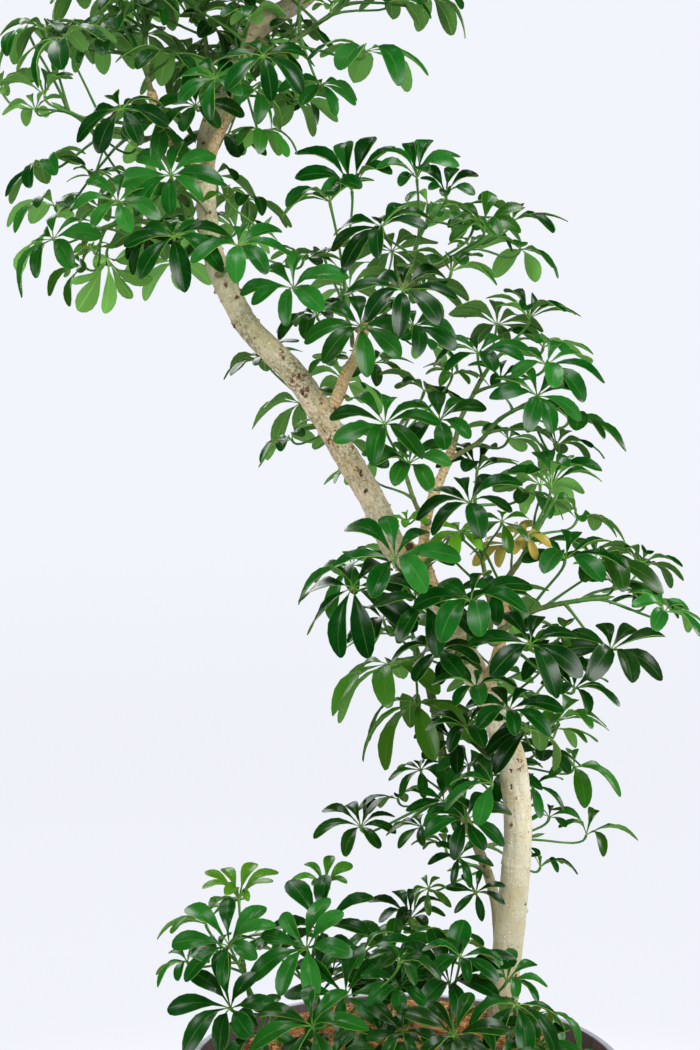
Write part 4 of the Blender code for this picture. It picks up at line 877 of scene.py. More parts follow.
def straightened(limbs):
    """A function that gives a place on bark its place on a straight upright limb, and the limb's radius."""
    samples = [(index, row) for index, limb in enumerate(limbs) for row in range(len(limb.places))]
    tree = KDTree(len(samples))
    for number, (index, row) in enumerate(samples):
        tree.insert(limbs[index].places[row], number)
    tree.balance()
    runs = []
    for limb in limbs:
        run = [0.0]
        for before, after in zip(limb.places, limb.places[1:]):
            run.append(run[-1] + (after - before).length)
        runs.append(run)

    def straighten(place):
        """Where this place lies on the limb that is nearest for its thickness."""
        def share(hit):
            index, row = samples[hit[1]]
            return hit[2] / limbs[index].radii[row]

        index, row = samples[min(tree.find_n(place, 12), key=share)[1]]
        local = limbs[index].frames[row].inverted() @ place
        run = runs[index][row] + local.z + BRANCH_OFFSET * index
        return Vector((local.x, local.y, run)), limbs[index].radii[row]

    return straighten


def wart_at(place, height):
    """How far this place on straightened bark is up a corky wart, from 0 to 1."""
    gaps, centres = noise.voronoi(place * 120)
    chosen = 0.5 + 0.5 * noise.noise(centres[0] * 7.7)
    share = float(np.interp(height, *WARTS))
    if chosen > share:
        return 0.0
    return max(0.0, min(1.0, 1.5 - gaps[0] / (0.12 + 0.24 * (share - chosen) / share)))


def make_wood(name, limbs, sides, settings, finish, marks, ring_scars, ridges):
    """Joins the limbs to one skin with a voxel remesh, then swells, cracks and marks it."""
    shape = bmesh.new()
    for limb in limbs:
        sweep(shape, limb.places[::2] + limb.places[-1:], limb.radii[::2] + limb.radii[-1:], sides)
    bmesh.ops.recalc_face_normals(shape, faces=shape.faces)
    piece = place_object(name + "_bark", mesh_from(name + "_bark", shape))
    remesh = piece.modifiers.new("join", "REMESH")
    remesh.mode = "VOXEL"
    remesh.voxel_size = settings.voxel
    soften = piece.modifiers.new("soften", "SMOOTH")
    soften.factor = 0.5
    soften.iterations = 7
    skin = bmesh.new()
    skin.from_mesh(settled_mesh(piece))
    bmesh.ops.recalc_face_normals(skin, faces=skin.faces)
    skin.normal_update()
    bark = skin.verts.layers.float_vector.new("bark")
    stains = skin.verts.layers.float_vector.new("marks")
    straighten = straightened(limbs)
    hits = []
    tree = BVHTree.FromBMesh(skin)
    for across, down, tall, wide, push, dark, tan in marks:
        place = tree.ray_cast(EYE, (spot(across, down, 0) - EYE).normalized())[0]
        if place is None:
            place = tree.find_nearest(spot(across, down, 10))[0]
        hits.append((straighten(place)[0], place, tall / 1000, wide / 1000, push / 1000, dark, tan))
    scars = [(straighten(tree.find_nearest(place)[0])[0].z, strength) for place, strength in ring_scars]
    relief = settings.relief
    moves = []
    for corner in skin.verts:
        place, radius = straighten(corner.co)
        corner[bark] = place
        girth = min(1.0, radius / 0.010)
        swell = noise.noise(place * 48) * 1.3 + noise.noise(place * 130) * 0.55
        rib = noise.noise(Vector((place.x * 210, place.y * 210, place.z * 9)))
        ring = noise.noise(Vector((place.x * 30, place.y * 30, place.z * 330)))
        branch = place.z > BRANCH_OFFSET / 2
        if branch:
            ring *= 4
        low, high = ridges
        ribbed = 1.5 if low < corner.co.z < high else 0.35
        rough = float(np.interp(corner.co.z, *SWELLS))
        push = relief * girth * (rough * swell + ribbed * rib + 0.3 * ring)
        wart = wart_at(place, corner.co.z)
        push += WART_HEIGHT * girth * wart
        for run, strength in scars:
            wobble = 0.0012 * noise.noise(Vector((place.x * 60, place.y * 60, run * 50)))
            off = (place.z - run - wobble) / SCAR_WIDTH
            if abs(off) < 3:
                lips = 1.3 * math.exp(-(off - 1.1) ** 2) - 1.6 * math.exp(-off * off * 2)
                push += relief * strength * lips
        dark, tan = 0.5 * wart, 0.95 * wart
        for centre, seen, tall, wide, mark_push, mark_dark, mark_tan in hits:
            if (corner.co - seen).length > 2.2 * max(tall, wide):
                continue
            gap = place - centre
            off = math.hypot(gap.z / tall, Vector((gap.x, gap.y)).length / wide)
            off += 0.5 * noise.noise(place * 300)
            near = max(0.0, min(1.0, 2.0 - 1.7 * off))
            push += mark_push * near * (1 + 1.2 * noise.noise(place * 500))
            dark = max(dark, mark_dark * near * near)
            tan = max(tan, mark_tan * near)
        corner[stains] = (dark, tan, 1.0 if branch else 0.0)
        moves.append((corner, corner.normal * push))
    for corner, move in moves:
        corner.co += move
    skin.to_mesh(piece.data)
    skin.free()
    finish_piece(piece, [finish], name)


# Leafy shoots

Leaf = namedtuple("Leaf", "hub up east turns reaches tilts stalk_way")
Change = namedtuple("Change", "towards share cup longer clear")


def middle_of(corners):
    """The mean place of these corners."""
    return sum((corner.co for corner in corners), Vector()) / len(corners)


def read_leaves(node):
    """The leaves of a packed shoot: their hubs, the way they face, and the lie of their leaflets.

    A hub's top corner meets four edges for each leaflet. The nearest corners round it are the notches
    between leaflets and the farthest are the tips, and the stalk hangs from the corners below the notches.
    """
    shape = merged_copy(node)
    leaves = []
    for top in shape.verts:
        if len(top.link_edges) not in (16, 20, 24):
            continue
        around = [edge.other_vert(top) for edge in top.link_edges]
        around.sort(key=lambda corner: (corner.co - top.co).length)
        count = len(around) // 4
        notches, tips = around[:count], around[-count:]
        if (notches[-1].co - top.co).length > 1.02 * (notches[0].co - top.co).length:
            continue
        below = {edge.other_vert(notch) for notch in notches for edge in notch.link_edges} - {top, *around}
        flat = np.array([corner.co for corner in notches])
        up = Vector(np.linalg.svd(flat - flat.mean(0))[2][2])
        if (middle_of(below) - middle_of(notches)).dot(up) > 0:
            up.negate()
        known = {top, *around, *below}
        ends = [edge.other_vert(corner) for corner in below for edge in corner.link_edges]
        ends = [corner for corner in ends if corner not in known]
        hub = top.co - up * PACKED_TOP
        east = up.orthogonal().normalized()
        north = up.cross(east)
        rows = []
        for tip in tips:
            gap = tip.co - hub
            sag, left = TIP_SAG * gap.z, 1 - TIP_SAG**2
            far = (sag + math.sqrt(sag**2 + left * gap.length_squared)) / left
            along = (gap + UP * TIP_SAG * far) / far
            tilt = math.asin(max(-1, min(1, along.dot(up))))
            rows.append((math.atan2(along.dot(north), along.dot(east)), far, tilt))
        rows.sort()
        leaves.append(Leaf(hub, up, east, *zip(*rows), middle_of(ends) - (hub - up * PACKED_STALK)))
    shape.free()
    return leaves


def packed_way(start, up, root):
    """The way in which a packed stalk with this root leaves its leaf, up to its first bend or its root."""
    span = root - start
    if span.angle(-up) < STRAIGHT_STALK:
        return span
    return span / 4 - up * (STALK_SAG / 2 * span.length)


def find_root(leaf, places):
    """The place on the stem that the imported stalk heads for."""
    start = leaf.hub - leaf.up * PACKED_STALK

    def miss(place):
        way = packed_way(start, leaf.up, place)
        return way.angle(leaf.stalk_way) + 0.25 * abs(math.log(way.length / leaf.stalk_way.length))

    root = min(places, key=miss)
    if packed_way(start, leaf.up, root).angle(leaf.stalk_way) > 0.3:
        natural = 1.2 * max(leaf.reaches)

        def odd(place):
            return abs((place - start).length - natural) + max(0, place.z - start.z)

        root = min(places, key=odd)
    return root


def change_of(leaf):
    """Where a leaf turns to and how far, its cup if listed, its length, and if it keeps clear of the bark."""
    across, down = seen_at(leaf.hub)
    for towards, rows in ((UP, SKY_LEAVES), (FRONT, FRONT_LEAVES)):
        for x, y, share, cup, longer in rows:
            if math.hypot(across - x, down - y) < SAME_HUB:
                return Change(towards, share, cup, longer, (x, y) in CLEAR_LEAVES)
    return Change(UP, float(np.interp(leaf.hub.z, *SETTLING)), None, 1.0, False)


def on_open_bark(place):
    """Whether this place shows where the trunk is bare."""
    across, down = seen_at(place)
    left, top, right, bottom = OPEN_BARK
    return left < across < right and top < down < bottom


def settled(leaf, change):
    """The leaf turned towards the sky or the front, as it settles in the light."""
    up = leaf.up.slerp(change.towards, change.share)
    return leaf._replace(up=up, east=leaf.up.rotation_difference(up) @ leaf.east)


def outline(share, fullness):
    """A leaflet's half width, 1 where it is widest, at this share of its blade: narrow foot, blunt tip."""
    if share <= 0 or share >= 1:
        return 0.0
    widest = fullness / (fullness + TIP_FULLNESS)
    return (share / widest) ** fullness * ((1 - share) / (1 - widest)) ** TIP_FULLNESS


# Where along a leaflet the rows of its grid lie
STATIONS = [0.02, BLADE_START] + [
    BLADE_START + (1 - BLADE_START) * math.sin(math.pi / 2 * k / (ROWS - 1)) for k in range(1, ROWS)
]


def grow_leaflet(shape, layers, lie, size, spring, steep, tone, settings, draw):
    """One leaflet: a grid bent to an arched blade, folded along its midrib, on a short stalk from the hub."""
    hub, along, over = lie
    far, half = size
    side = along.cross(over)
    # Steep leaflets stand on longer stalks and have a narrower foot
    start = BLADE_START + 0.10 * steep
    fullness = draw.uniform(0.95, 1.25) + 0.4 * steep
    sway, droop, twist = draw.uniform(-0.12, 0.12), draw.uniform(-0.02, 0.16), draw.uniform(-0.5, 0.5)
    fold = settings.fold * draw.uniform(0.6, 1.5) * (1 + 0.8 * steep)
    phases = [draw.uniform(0, 6.3), draw.uniform(0, 6.3)]
    wave = draw.uniform(0.006, 0.018) * far
    notch = draw.choice((0, 0, 0, 0.012))
    arch = ARCH * spring * draw.uniform(0.6, 1.8)
    youth, bronze, shade = tone
    luck = ((0.6 * shade + 0.4 * draw.random()) ** 1.7, draw.random(), bronze)
    blade, chance = layers
    for corner in bmesh.ops.create_grid(shape, x_segments=COLUMNS, y_segments=ROWS, size=1)["verts"]:
        across, row = corner.co.x, round((corner.co.y + 1) / 2 * ROWS)
        t = STATIONS[row]
        width = max(LEAST_WIDTH, half * outline((t - start) / (1 - start), fullness))
        if row == ROWS:
            width = across = 0
        bent = np.interp(t, (0, BLADE_START, 0.35, 0.8, 1), (1.0, 0.75, fold + 0.2, fold, fold * 0.5))
        edge = abs(across)
        roll = twist * t
        out = across * width * math.cos(bent)
        lift = edge * width * math.sin(bent) - 0.16 * width * edge**3
        if row > 1:
            lift += wave * edge * math.sin(9.5 * t + phases[across > 0])
        centre = hub + along * (far * (t - notch * (row == ROWS)))
        centre += over * (far * (arch * 4 * t * (1 - t) - droop * t**3)) - UP * (TIP_SAG * far * t * t)
        centre += side * (far * sway * t * t)
        corner.co = (
            centre + side * (out * math.cos(roll) - lift * math.sin(roll))
            + over * (out * math.sin(roll) + lift * math.cos(roll))
        )
        corner[blade] = (across, t, youth)
        corner[chance] = luck


def grow_blades(shape, layers, leaf, root, slim, change, tone, settings, draw):
    """All leaflets of a leaf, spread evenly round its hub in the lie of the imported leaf."""
    reach = max(leaf.reaches)
    count = 6 if reach < 0.030 else 7 if reach < 0.040 else draw.choice((7, 8, 8))
    if slim[1] < 0.8:
        count = draw.choice((5, 6, 6, 7))
    north = leaf.up.cross(leaf.east)
    lean = root - leaf.hub
    start = math.atan2(lean.dot(north), lean.dot(leaf.east)) + math.pi / count
    hand = draw.choice((-1, 1))
    low = leaf.hub.z < FOOT_LEAVES_BELOW
    spring = 1.0 if low else 0.85
    # Leaves cup, most of all at the foot, but those that are steep already hardly do
    wanted = float(np.interp(leaf.hub.z, *CUPPING)) + draw.uniform(-0.25, 0.25)
    mean = sum(leaf.tilts) / len(leaf.tilts)
    cup = 0.9 * (wanted - mean) if wanted > mean else draw.uniform(-0.12, 0.05)
    if reach < SMALL_LEAF:
        cup = 0.0
    if change.cup is not None:
        cup = change.cup
    tone = (*tone, draw.random())
    for k in range(count):
        turn = start + math.tau * (k + draw.uniform(-0.13, 0.13)) / count
        far = float(np.interp(turn, leaf.turns, leaf.reaches, period=math.tau))
        far *= draw.uniform(0.86, 1.03)
        tilt = float(np.interp(turn, leaf.turns, leaf.tilts, period=math.tau))
        tilt = tilt + cup + draw.uniform(-0.14, 0.14)
        if k in (0, count - 1):
            far *= draw.uniform(0.80, 0.92)
        far *= change.longer * slim[0] * draw.uniform(min(1.0, 0.6 * slim[0] + 0.4), 1.0)
        out = math.cos(turn) * leaf.east + math.sin(turn) * north
        along = math.cos(tilt) * out + math.sin(tilt) * leaf.up
        over = math.cos(tilt) * leaf.up - math.sin(tilt) * out
        room = math.cos(tilt) * 8 / count
        crowding = max(0.0, BLADE_HALF_WIDTH - 0.24 * room)
        roll = hand * (0.05 + 2.2 * crowding) + draw.uniform(-0.1, 0.1)
        over = (math.cos(roll) * over + math.sin(roll) * along.cross(over)).normalized()
        half = far * slim[1] * min(BLADE_HALF_WIDTH, 0.36 * room) * draw.uniform(0.88, 1.04)
        half *= 0.92 if low else 1.0
        if change.clear and any(on_open_bark(leaf.hub + along * (share * far)) for share in (1.0, 0.6)):
            continue
        steep = max(0.0, min(1.0, tilt / 0.7))
        lie = (leaf.hub + leaf.up * HUB_STEP, along, over)
        grow_leaflet(shape, layers, lie, (far, half), spring, steep, tone, settings, draw)


def tone_of(leaf, shoot, draw):
    """How young and how bronze a leaf looks: some leaves are listed, and small ones are lighter."""
    across, down = seen_at(leaf.hub)
    reach = max(leaf.reaches)
    for light_across, light_down, within, youth, bronze in LIGHT_LEAVES:
        if math.hypot(across - light_across, down - light_down) < within:
            return youth * draw.uniform(0.85, 1.0) * (1.0 if reach < 0.042 else 0.5), bronze
    if shoot.startswith("foot_"):
        return draw.uniform(0.0, 0.03), 0.0
    if reach < SMALL_LEAF:
        return draw.uniform(0.0, 0.25), 0.0
    return max(0.0, draw.gauss(-0.01, 0.03)), 0.0


def stem_line(stem, barks):
    """The stem's centre line and radii, from just inside the bark, or its foot in the soil, to its tip."""
    places = [spot(*row) for row in stem.route]
    if stem.foot:
        x, y = stem.foot[0] / 1000, stem.foot[1] / 1000
        route = [Vector((x, y, FOOT_BOTTOM)), Vector((x, y, FOOT_TOP)), *places]
    else:
        seat, outward, *_ = min((bark.find_nearest(places[0]) for bark in barks), key=lambda hit: hit[3])
        route = [seat - outward * SEAT_DEPTH, seat + outward * SEAT_RISE, *places[1:]]
    last = len(route) - 1
    radii = [SLIM_STEM * stem.radius / 1000 * (1 - (1 - STEM_TIP) * k / last) for k in range(last + 1)]
    return curve_through(route, radii, STEM_STEP)


def grow_stem(shape, layer, stem, places, radii, draw):
    """The green stem with its swollen nodes and leaf scars, brown at the foot, and the bud at its tip."""
    radii = list(radii)
    scars = [False] * len(radii)
    row = 3
    while row < len(radii) - 2:
        radii[row] *= 1.12
        scars[row] = True
        row += draw.choice((2, 3, 3, 4, 5))
    if not stem.foot:
        for row, more in ((0, 1.5), (1, 1.35), (2, 1.15)):
            radii[row] *= more
    heading = (places[-1] - places[-2]).normalized()
    bud = [places[-1] + heading * past for past in BUD]
    rings = sweep(shape, places + bud, radii + list(BUD.values()), 10)
    last = len(places) - 1
    for number, ring in enumerate(rings):
        share = min(1.0, number / last)
        wood = 0.0 if stem.foot else max(0.0, 0.95 - 1.3 * share)
        light = 0.35 if number > last else 0.0
        dark = 0.3 if number <= last and scars[number] else 0.0
        for corner in ring:
            corner[layer] = (wood, light, dark)


def grow_stalk(shape, layer, leaf, root, settings, draw):
    """A leaf stalk from the stem to the hub, thicker at both ends, with the knob that holds the leaflets."""
    start = leaf.hub - leaf.up * HUB_STEP
    span = (start - root).length
    low = root.lerp(start, 0.4) + UP * (0.05 * span)
    low += Vector([draw.uniform(-0.04, 0.04) * span for _ in range(3)])
    high = start - leaf.up * (0.22 * span)
    places = [
        root * (1 - t) ** 3 + low * (3 * t * (1 - t) ** 2) + high * (3 * t**2 * (1 - t)) + start * t**3
        for t in STALK_SWELL
    ]
    radius = settings.petiole * draw.uniform(0.88, 1.08) * min(1.0, 0.55 + max(leaf.reaches) / 0.09)
    rings = sweep(shape, places, [radius * swell for swell in STALK_SWELL.values()], 7)
    for t, ring in zip(STALK_SWELL, rings):
        for corner in ring:
            corner[layer] = (0.25 * max(0, 1 - 6 * t), max(0.0, min(0.4, 6 * t - 5.2)), 0)
    turned = leaf.up.to_track_quat("Z", "Y").to_matrix().to_4x4()
    shaped = Matrix.Translation(leaf.hub + leaf.up * 0.0002) @ turned @ Matrix.Diagonal((1, 1, 0.7, 1))
    knob = bmesh.ops.create_icosphere(shape, subdivisions=2, radius=KNOB_RADIUS, matrix=shaped)["verts"]
    for corner in knob:
        corner[layer] = (0, 0.45, 0)


# How often a shoot tries to find room for more leaves, and a distance in metres that is behind all bark
TRIES = 400
NO_BARK = 9.0
# What room such a leaf needs: the least gap to another hub, how near the hubs of a crowd are, the least gap
# to a packed leaflet, and the least heights of its own hub and tips
HUB_GAP, CROWD_GAP, BLADE_GAP = 0.030, 0.080, 0.004
LOWEST_HUB, LOWEST_TIP = 0.395, 0.375


def inner_leaves(name, places, leaves, hubs, foliage, barks, draw):
    """More leaves for a shoot, where packed leaves already close the view, so that its form stays."""
    wanted = round(len(leaves) * INNER_LEAVES.get(name.split("_")[0], 0))
    found = []
    for _ in range(TRIES):
        if len(found) >= wanted:
            break
        root = places[draw.randrange(len(places) // 4, len(places))]
        heading = Vector([draw.gauss(0, 1) for _ in range(3)]).normalized() + UP * 0.35
        heading.normalize()
        hub = root + heading * draw.uniform(0.034, 0.082)
        reach = draw.uniform(0.036, 0.054)
        away = [(hub - other).length for other in hubs]
        if min(away) < HUB_GAP or sum(gap < CROWD_GAP for gap in away) < 3 or hub.z < LOWEST_HUB:
            continue
        up = heading * 0.6 + UP * 0.8 + Vector([draw.gauss(0, 0.25) for _ in range(3)])
        up = (up + Vector((0, -0.25, 0))).normalized()
        east = up.orthogonal().normalized()
        north = up.cross(east)
        cup = draw.uniform(-0.6, -0.05)
        turns = [-math.pi + math.tau * (k + draw.uniform(0.2, 0.8)) / 5 for k in range(5)]
        tilts = [cup + draw.uniform(-0.2, 0.2) for _ in turns]
        reaches = [reach * draw.uniform(0.88, 1.0) for _ in turns]
        arms = []
        for turn, tilt in zip(turns, tilts):
            out = math.cos(turn) * east + math.sin(turn) * north
            arms.append(math.cos(tilt) * out + math.sin(tilt) * up - UP * TIP_SAG)
        tips = [hub + arm * reach for arm in arms]
        hidden = open_bark = screened = crossing = 0
        for place in (hub, *tips):
            way = (place - EYE).normalized()
            cover = foliage.ray_cast(EYE, way)[3]
            hidden += cover is not None
            behind = min(bark.ray_cast(EYE, way)[3] or NO_BARK for bark in barks)
            open_bark += behind < NO_BARK and (cover is None or behind < cover)
            sides = (Vector((1, 0, 0)), Vector((-1, 0, 0)))
            screened += any(foliage.ray_cast(place, side)[0] is not None for side in sides)
        for arm in arms:
            for share in (0.5, 0.95):
                crossing += foliage.find_nearest(hub + arm * (reach * share))[3] < BLADE_GAP
        lowest = min(tip.z for tip in tips)
        if hidden < 5 or open_bark or screened < 4 or crossing > 1 or lowest < LOWEST_TIP:
            continue
        found.append((Leaf(hub, up, east, turns, reaches, tilts, None), root))
        hubs.append(hub)
    return found


def grow_shoot(name, stem, barks, foliage, hubs, finishes, settings):
    """A leafy shoot as two pieces, blades and stalks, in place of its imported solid."""
    draw = random.Random(name)
    places, radii = stem_line(stem, barks)
    blades, stalks = bmesh.new(), bmesh.new()
    layers = [blades.verts.layers.float_vector.new(key) for key in ("blade", "chance")]
    layer = stalks.verts.layers.float_vector.new("stalk")
    grow_stem(stalks, layer, stem, places, radii, draw)
    leaves = [(leaf, find_root(leaf, places[2:])) for leaf in read_leaves(frame["nodes"][name])]
    leaves += inner_leaves(name, places, leaves, hubs, foliage, barks, draw)
    slim = SLIM_SHOOTS.get(name, (1.0, 1.0))
    for leaf, root in leaves:
        change = change_of(leaf)
        leaf = settled(leaf, change)
        grow_blades(blades, layers, leaf, root, slim, change, tone_of(leaf, name, draw), settings, draw)
        grow_stalk(stalks, layer, leaf, root, settings, draw)
    bmesh.ops.remove_doubles(blades, verts=blades.verts, dist=1e-7)
    piece = add_piece(name + "_leaves", blades, finishes[:3], name)
    thick = piece.modifiers.new("thickness", "SOLIDIFY")
    thick.thickness = settings.thickness
    thick.offset = -1
    thick.material_offset = 1
    thick.material_offset_rim = 2
    flat = piece.data
    piece.data = settled_mesh(piece)
    bpy.data.meshes.remove(flat)
    piece.data.name = piece.name
    piece.data.shade_smooth()
    piece.data.set_sharp_from_angle(angle=LEAF_EDGE)
    bmesh.ops.recalc_face_normals(stalks, faces=stalks.faces)
    add_piece(name + "_stalks", stalks, finishes[3:], name)


# Operators

# Lamps of the studio: name, place and size in metres, and power in watts. All face the lit point
LAMPS = (
    ("key", (1.5, -2.2, 2.0), 1.5, 100), ("fill", (-2.2, -1.5, 1.5), 1.0, 30),
    ("top", (-0.3, 0.2, 2.9), 1.4, 64), ("back", (-1.0, 2.4, 2.0), 1.5, 24),
    ("side", (2.3, 1.0, 1.6), 1.0, 26),
)
LIT_POINT = Vector((-0.02, 0, 0.75))


class BuildStudio(bpy.types.Operator):
    """Build the pale floor and backdrop, the soft lights and the camera."""

    bl_idname = "umbrella_tree.build_studio"
    bl_label = "Studio"

    def execute(self, context):
        settings = context.scene.umbrella_studio
        shape = turned_shape([(0, 0), (settings.radius, 0), (settings.radius, settings.height)], 96, {1: 2.4})
        bmesh.ops.reverse_faces(shape, faces=shape.faces)
        backdrop = place_object("backdrop", mesh_from("backdrop", shape))
        backdrop.data.shade_smooth()
        backdrop.data.materials.append(studio_paper(settings))
        # Gloss shows the lamps, not the white paper and the world, so that the leaves keep their deep green
        backdrop.visible_glossy = False
        for name, place, size, power in LAMPS:
            light = bpy.data.lights.new(name, "AREA")
            light.shape = "SQUARE"
            light.size = size
            light.energy = power
            lamp = place_object(name, light)
            lamp.location = place
            lamp.rotation_euler = (LIT_POINT - Vector(place)).to_track_quat("-Z", "Y").to_euler()
        world = bpy.data.worlds.new("studio")
        world.use_nodes = True
        sky = world.node_tree.nodes["Background"].inputs
        sky["Color"].default_value = (*linear("#f4f7fe"), 1)
        sky["Strength"].default_value = 0.06
        world.cycles_visibility.glossy = False
        context.scene.world = world
        lens = bpy.data.cameras.new("camera")
        lens.sensor_fit = "VERTICAL"
        lens.sensor_height = 36
        lens.lens = lens.sensor_height * FOCAL_PIXELS / PICTURE[1]
        camera = place_object("camera", lens)
        camera.location = EYE
        camera.rotation_euler = (math.pi / 2, 0, 0)
        context.scene.camera = camera
        context.scene.view_settings.view_transform = "Standard"
        return {"FINISHED"}


class MakePots(bpy.types.Operator):
    """Turn the outer pot and the inner pot, and give the soil its finish."""

    bl_idname = "umbrella_tree.make_pots"
    bl_label = "Pots and soil"

    def execute(self, context):
        settings = context.scene.umbrella_pots
        top, base, wall = settings.top_radius, settings.base_radius, settings.wall
        outer = turned_shape([
            (0, 0), (base, 0), (top, settings.height), (top - wall, settings.height),
            (base - wall, settings.floor), (0, settings.floor),
        ], 144, {1: 0.004, 2: 0.0016, 3: 0.0016, 4: 0.006})
        add_piece("outer_pot", outer, [fibre_cement(settings)], "pot", POT_EDGE)
        low, high, wide = NURSERY_LOW.z, NURSERY_HIGH.z, NURSERY_HIGH.x
        narrow, skin = NURSERY_BASE, NURSERY_SKIN
        inner = turned_shape([
            (0, low), (narrow, low), (wide - 0.004, high - 0.014), (wide, high - 0.013), (wide, high),
            (wide - skin, high), (wide - skin - 0.0035, high - 0.012), (narrow - skin, low + skin),
            (0, low + skin),
        ], 120, {1: 0.003, 4: 0.0007, 5: 0.0005})
        add_piece("inner_pot", inner, [nursery_plastic(settings)], "nursery_pot", POT_EDGE)
        soil = frame["nodes"]["soil"]
        soil.data.materials.clear()
        soil.data.materials.append(potting_soil(settings))
        return {"FINISHED"}


def scattered(draw, reach):
    """A chance place, across and away, in a circle with this radius."""
    away, turn = reach * math.sqrt(draw.random()), draw.uniform(0, math.tau)
    return away * math.cos(turn), away * math.sin(turn)


class LayMulch(bpy.types.Operator):
    """Heap the coconut fibre on the soil, with loose fibres and husk chips on it."""

    bl_idname = "umbrella_tree.lay_mulch"
    bl_label = "Mulch"

    def execute(self, context):
        settings = context.scene.umbrella_mulch
        draw = random.Random("mulch")
        rim, crown, outside = NURSERY_HIGH.z, MULCH_HIGH.z - 0.0025, MULCH_HIGH.x
        inside = outside - 0.008
        rise = crown - rim
        dome = [
            (outside * math.cos(math.radians(turn)), rim + rise * math.sin(math.radians(turn)))
            for turn in (6, 14, 22, 30, 38, 45, 52, 58, 64, 69, 74, 79, 84)
        ]
        above, low = rim + 0.0003, MULCH_LOW.z + 0.001
        shape = turned_shape([
            (0, above), (inside, above), (inside, low), (outside, low), (outside, rim - 0.006),
            *dome, (0, crown),
        ], 110, {})
        for corner in shape.verts:
            on_dome = corner.co.z > rim + 0.004
            if on_dome or corner.co.z > rim - 0.008 and corner.co.xy.length > inside - 0.03:
                heap = 2.6 * noise.noise(corner.co * 38) + 1.6 * noise.noise(corner.co * 120)
                corner.co.z += (0.001 if on_dome else 0.0003) * heap
        bed = coconut_fibre("coconut_fibre_bed", settings, 260.0)
        add_piece("mulch_bed", shape, [bed], "mulch", BED_EDGE)
        ground = BVHTree.FromObject(bpy.data.objects["mulch_bed"], context.evaluated_depsgraph_get())

        def on_mulch(x, y):
            """The place on the heap above or below this one."""
            place = ground.ray_cast(Vector((x, y, 0.5)), -UP)[0]
            return place if place is not None else Vector((x, y, rim))

        chips = bmesh.new()
        for _ in range(settings.chips):
            place = on_mulch(*scattered(draw, outside * 0.97))
            turned = Matrix.Rotation(draw.uniform(0, 6.3), 4, "Z")
            turned @= Matrix.Rotation(draw.gauss(0, 0.35), 4, "X")
            sides = [draw.uniform(*sizes) for sizes in CHIP_SIZES]
            lain = Matrix.Translation(place + UP * 0.0006) @ turned @ Matrix.Diagonal((*sides, 1))
            for corner in bmesh.ops.create_cube(chips, size=1, matrix=lain)["verts"]:
                corner.co += Vector([draw.uniform(-0.0009, 0.0009) for _ in range(3)])
        bmesh.ops.bevel(
            chips, geom=chips.edges, offset=0.0005, segments=1, profile=0.5, affect="EDGES", material=-1,
        )
        husk = coconut_fibre("coconut_husk", settings, 90.0)
        add_piece("mulch_chips", chips, [husk], "mulch", CHIP_EDGE)
        strands = bpy.data.curves.new("mulch_fibres", "CURVE")
        strands.dimensions = "3D"
        strands.bevel_depth = FIBRE_RADIUS
        strands.bevel_resolution = 0
        strands.use_fill_caps = True
        for _ in range(settings.fibres):
            x, y = scattered(draw, outside * 0.98)
            heading, bend = draw.uniform(0, math.tau), draw.gauss(0, 0.5)
            step = draw.uniform(0.0035, 0.0085)
            strand = strands.splines.new("POLY")
            strand.points.add(4)
            lift = abs(draw.gauss(0, 0.0014))
            for number, point in enumerate(strand.points):
                if math.hypot(x, y) > outside * 0.985:
                    x, y = x * 0.97, y * 0.97
                place = on_mulch(x, y)
                place += UP * (0.0003 + lift * math.sin(math.pi * number / 4 + draw.uniform(0, 0.4)))
                point.co = (*place, 1)
                point.radius = draw.uniform(0.6, 1.25)
                x, y = x + step * math.cos(heading), y + step * math.sin(heading)
                heading += bend
        curve = place_object("mulch_strands", strands)
        mesh = settled_mesh(curve)
        bpy.data.objects.remove(curve)
        mesh.materials.clear()
        strand = coconut_fibre("coconut_strand", settings, 130.0)
        finish_piece(place_object("mulch_fibres", mesh), [strand], "mulch")
        return {"FINISHED"}


class GrowTrunk(bpy.types.Operator):
    """Grow the trunk with its branches and their marked pale bark."""

    bl_idname = "umbrella_tree.grow_trunk"
    bl_label = "Trunk"

    def execute(self, context):
        settings = context.scene.umbrella_wood
        limbs = [limb_line(TRUNK_ROUTE, TRUNK_FOOT)] + [limb_line(rows) for rows in BRANCH_ROUTES.values()]
        pale, warm, mossy = settings.pale, settings.warm, settings.mossy
        finish = smooth_bark("pale_bark", pale, warm, mossy, (0.88, 0.99), 0.35, 0.9)
        scars = [(spot(480, down, 20), strength) for down, strength in RING_SCARS]
        make_wood("trunk", limbs, 22, settings, finish, BARK_MARKS, scars, (0.50, 0.60))
        return {"FINISHED"}


class GrowSecondStem(bpy.types.Operator):
    """Grow the thin brown stem behind the trunk."""

    bl_idname = "umbrella_tree.grow_second_stem"
    bl_label = "Second stem"

    def execute(self, context):
        settings = context.scene.umbrella_wood
        limbs = [limb_line(SECOND_ROUTE, SECOND_FOOT)]
        brown, green = settings.brown, settings.green
        finish = smooth_bark("brown_bark", brown, scaled(brown, 0.7), green, (0.525, 0.56), 0.85, 0.6)
        scars = [(spot(*row[:3]), 1.0) for row in SECOND_ROUTE[3:-1]]
        make_wood("second_stem", limbs, 16, settings, finish, [], scars, (0, 0))
        return {"FINISHED"}


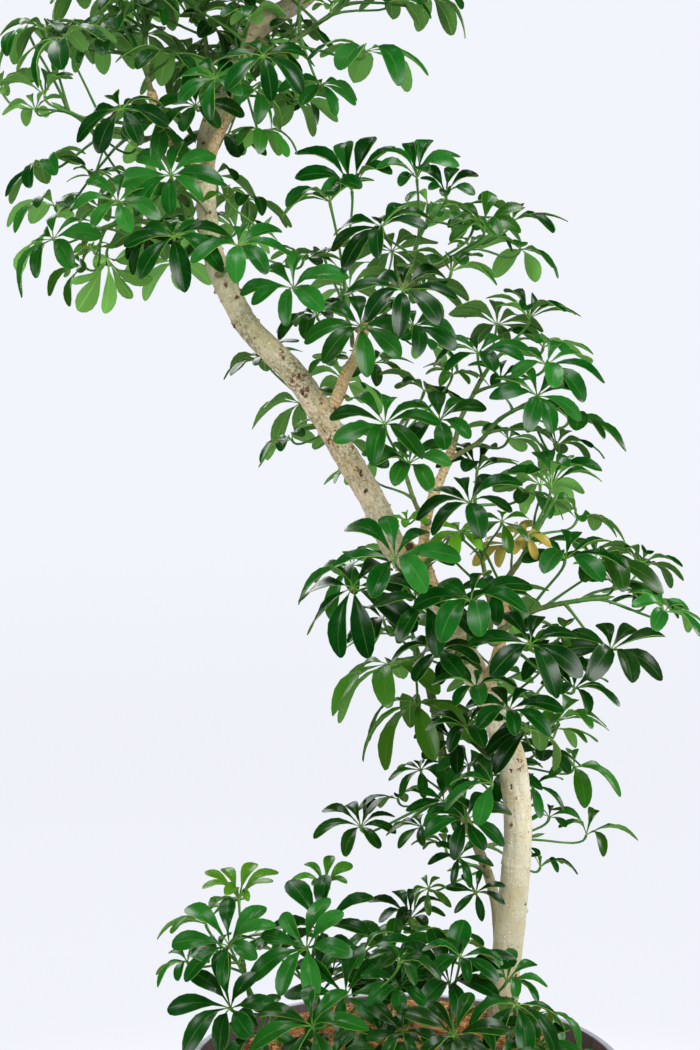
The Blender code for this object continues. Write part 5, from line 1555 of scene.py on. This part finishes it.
class GrowShoots(bpy.types.Operator):
    """Grow every leafy shoot with its leaflets, leaf stalks and green stem."""

    bl_idname = "umbrella_tree.grow_shoots"
    bl_label = "Leafy shoots"

    def execute(self, context):
        settings = context.scene.umbrella_leaves
        barks = []
        for name in ("trunk", "second_stem"):
            solid = merged_copy(frame["nodes"][name])
            barks.append(BVHTree.FromBMesh(solid))
            solid.free()
        finishes = [
            leaf_blade("waxy_leaf", settings, True), leaf_blade("leaf_underside", settings, False),
            leaf_margin(settings), green_stalk(settings),
        ]
        packed = bmesh.new()
        hubs = []
        for name in STEMS:
            packed.from_mesh(frame["nodes"][name].data)
            hubs += [leaf.hub for leaf in read_leaves(frame["nodes"][name])]
        foliage = BVHTree.FromBMesh(packed)
        packed.free()
        for name, stem in STEMS.items():
            grow_shoot(name, stem, barks, foliage, hubs, finishes, settings)
        return {"FINISHED"}


OPERATORS = (BuildStudio, MakePots, LayMulch, GrowTrunk, GrowSecondStem, GrowShoots)
SETTINGS = {
    "umbrella_leaves": LeafSettings, "umbrella_wood": WoodSettings, "umbrella_pots": PotSettings,
    "umbrella_mulch": MulchSettings, "umbrella_studio": StudioSettings,
}


class UmbrellaTreePanel(bpy.types.Panel):
    """Lists the parts of the tree and their settings."""

    bl_idname = "VIEW3D_PT_umbrella_tree"
    bl_label = "Dwarf umbrella tree"
    bl_space_type = "VIEW_3D"
    bl_region_type = "UI"
    bl_category = "Umbrella tree"

    def draw(self, context):
        for operator in OPERATORS:
            self.layout.operator(operator.bl_idname)
        for key, group in SETTINGS.items():
            box = self.layout.box()
            for field in group.__annotations__:
                box.prop(getattr(context.scene, key), field)


def register():
    """Adds the settings, the operators and the panel to Blender."""
    for group in (*SETTINGS.values(), *OPERATORS, UmbrellaTreePanel):
        bpy.utils.register_class(group)
    for key, group in SETTINGS.items():
        setattr(bpy.types.Scene, key, PointerProperty(type=group))


def unregister():
    """Takes them out again."""
    for key in SETTINGS:
        delattr(bpy.types.Scene, key)
    for group in reversed((*SETTINGS.values(), *OPERATORS, UmbrellaTreePanel)):
        bpy.utils.unregister_class(group)


def main():
    """Builds the whole scene."""
    register()
    bpy.ops.umbrella_tree.build_studio()
    bpy.ops.umbrella_tree.make_pots()
    bpy.ops.umbrella_tree.lay_mulch()
    bpy.ops.umbrella_tree.grow_trunk()
    bpy.ops.umbrella_tree.grow_second_stem()
    bpy.ops.umbrella_tree.grow_shoots()


if __name__ == "__main__":
    main()
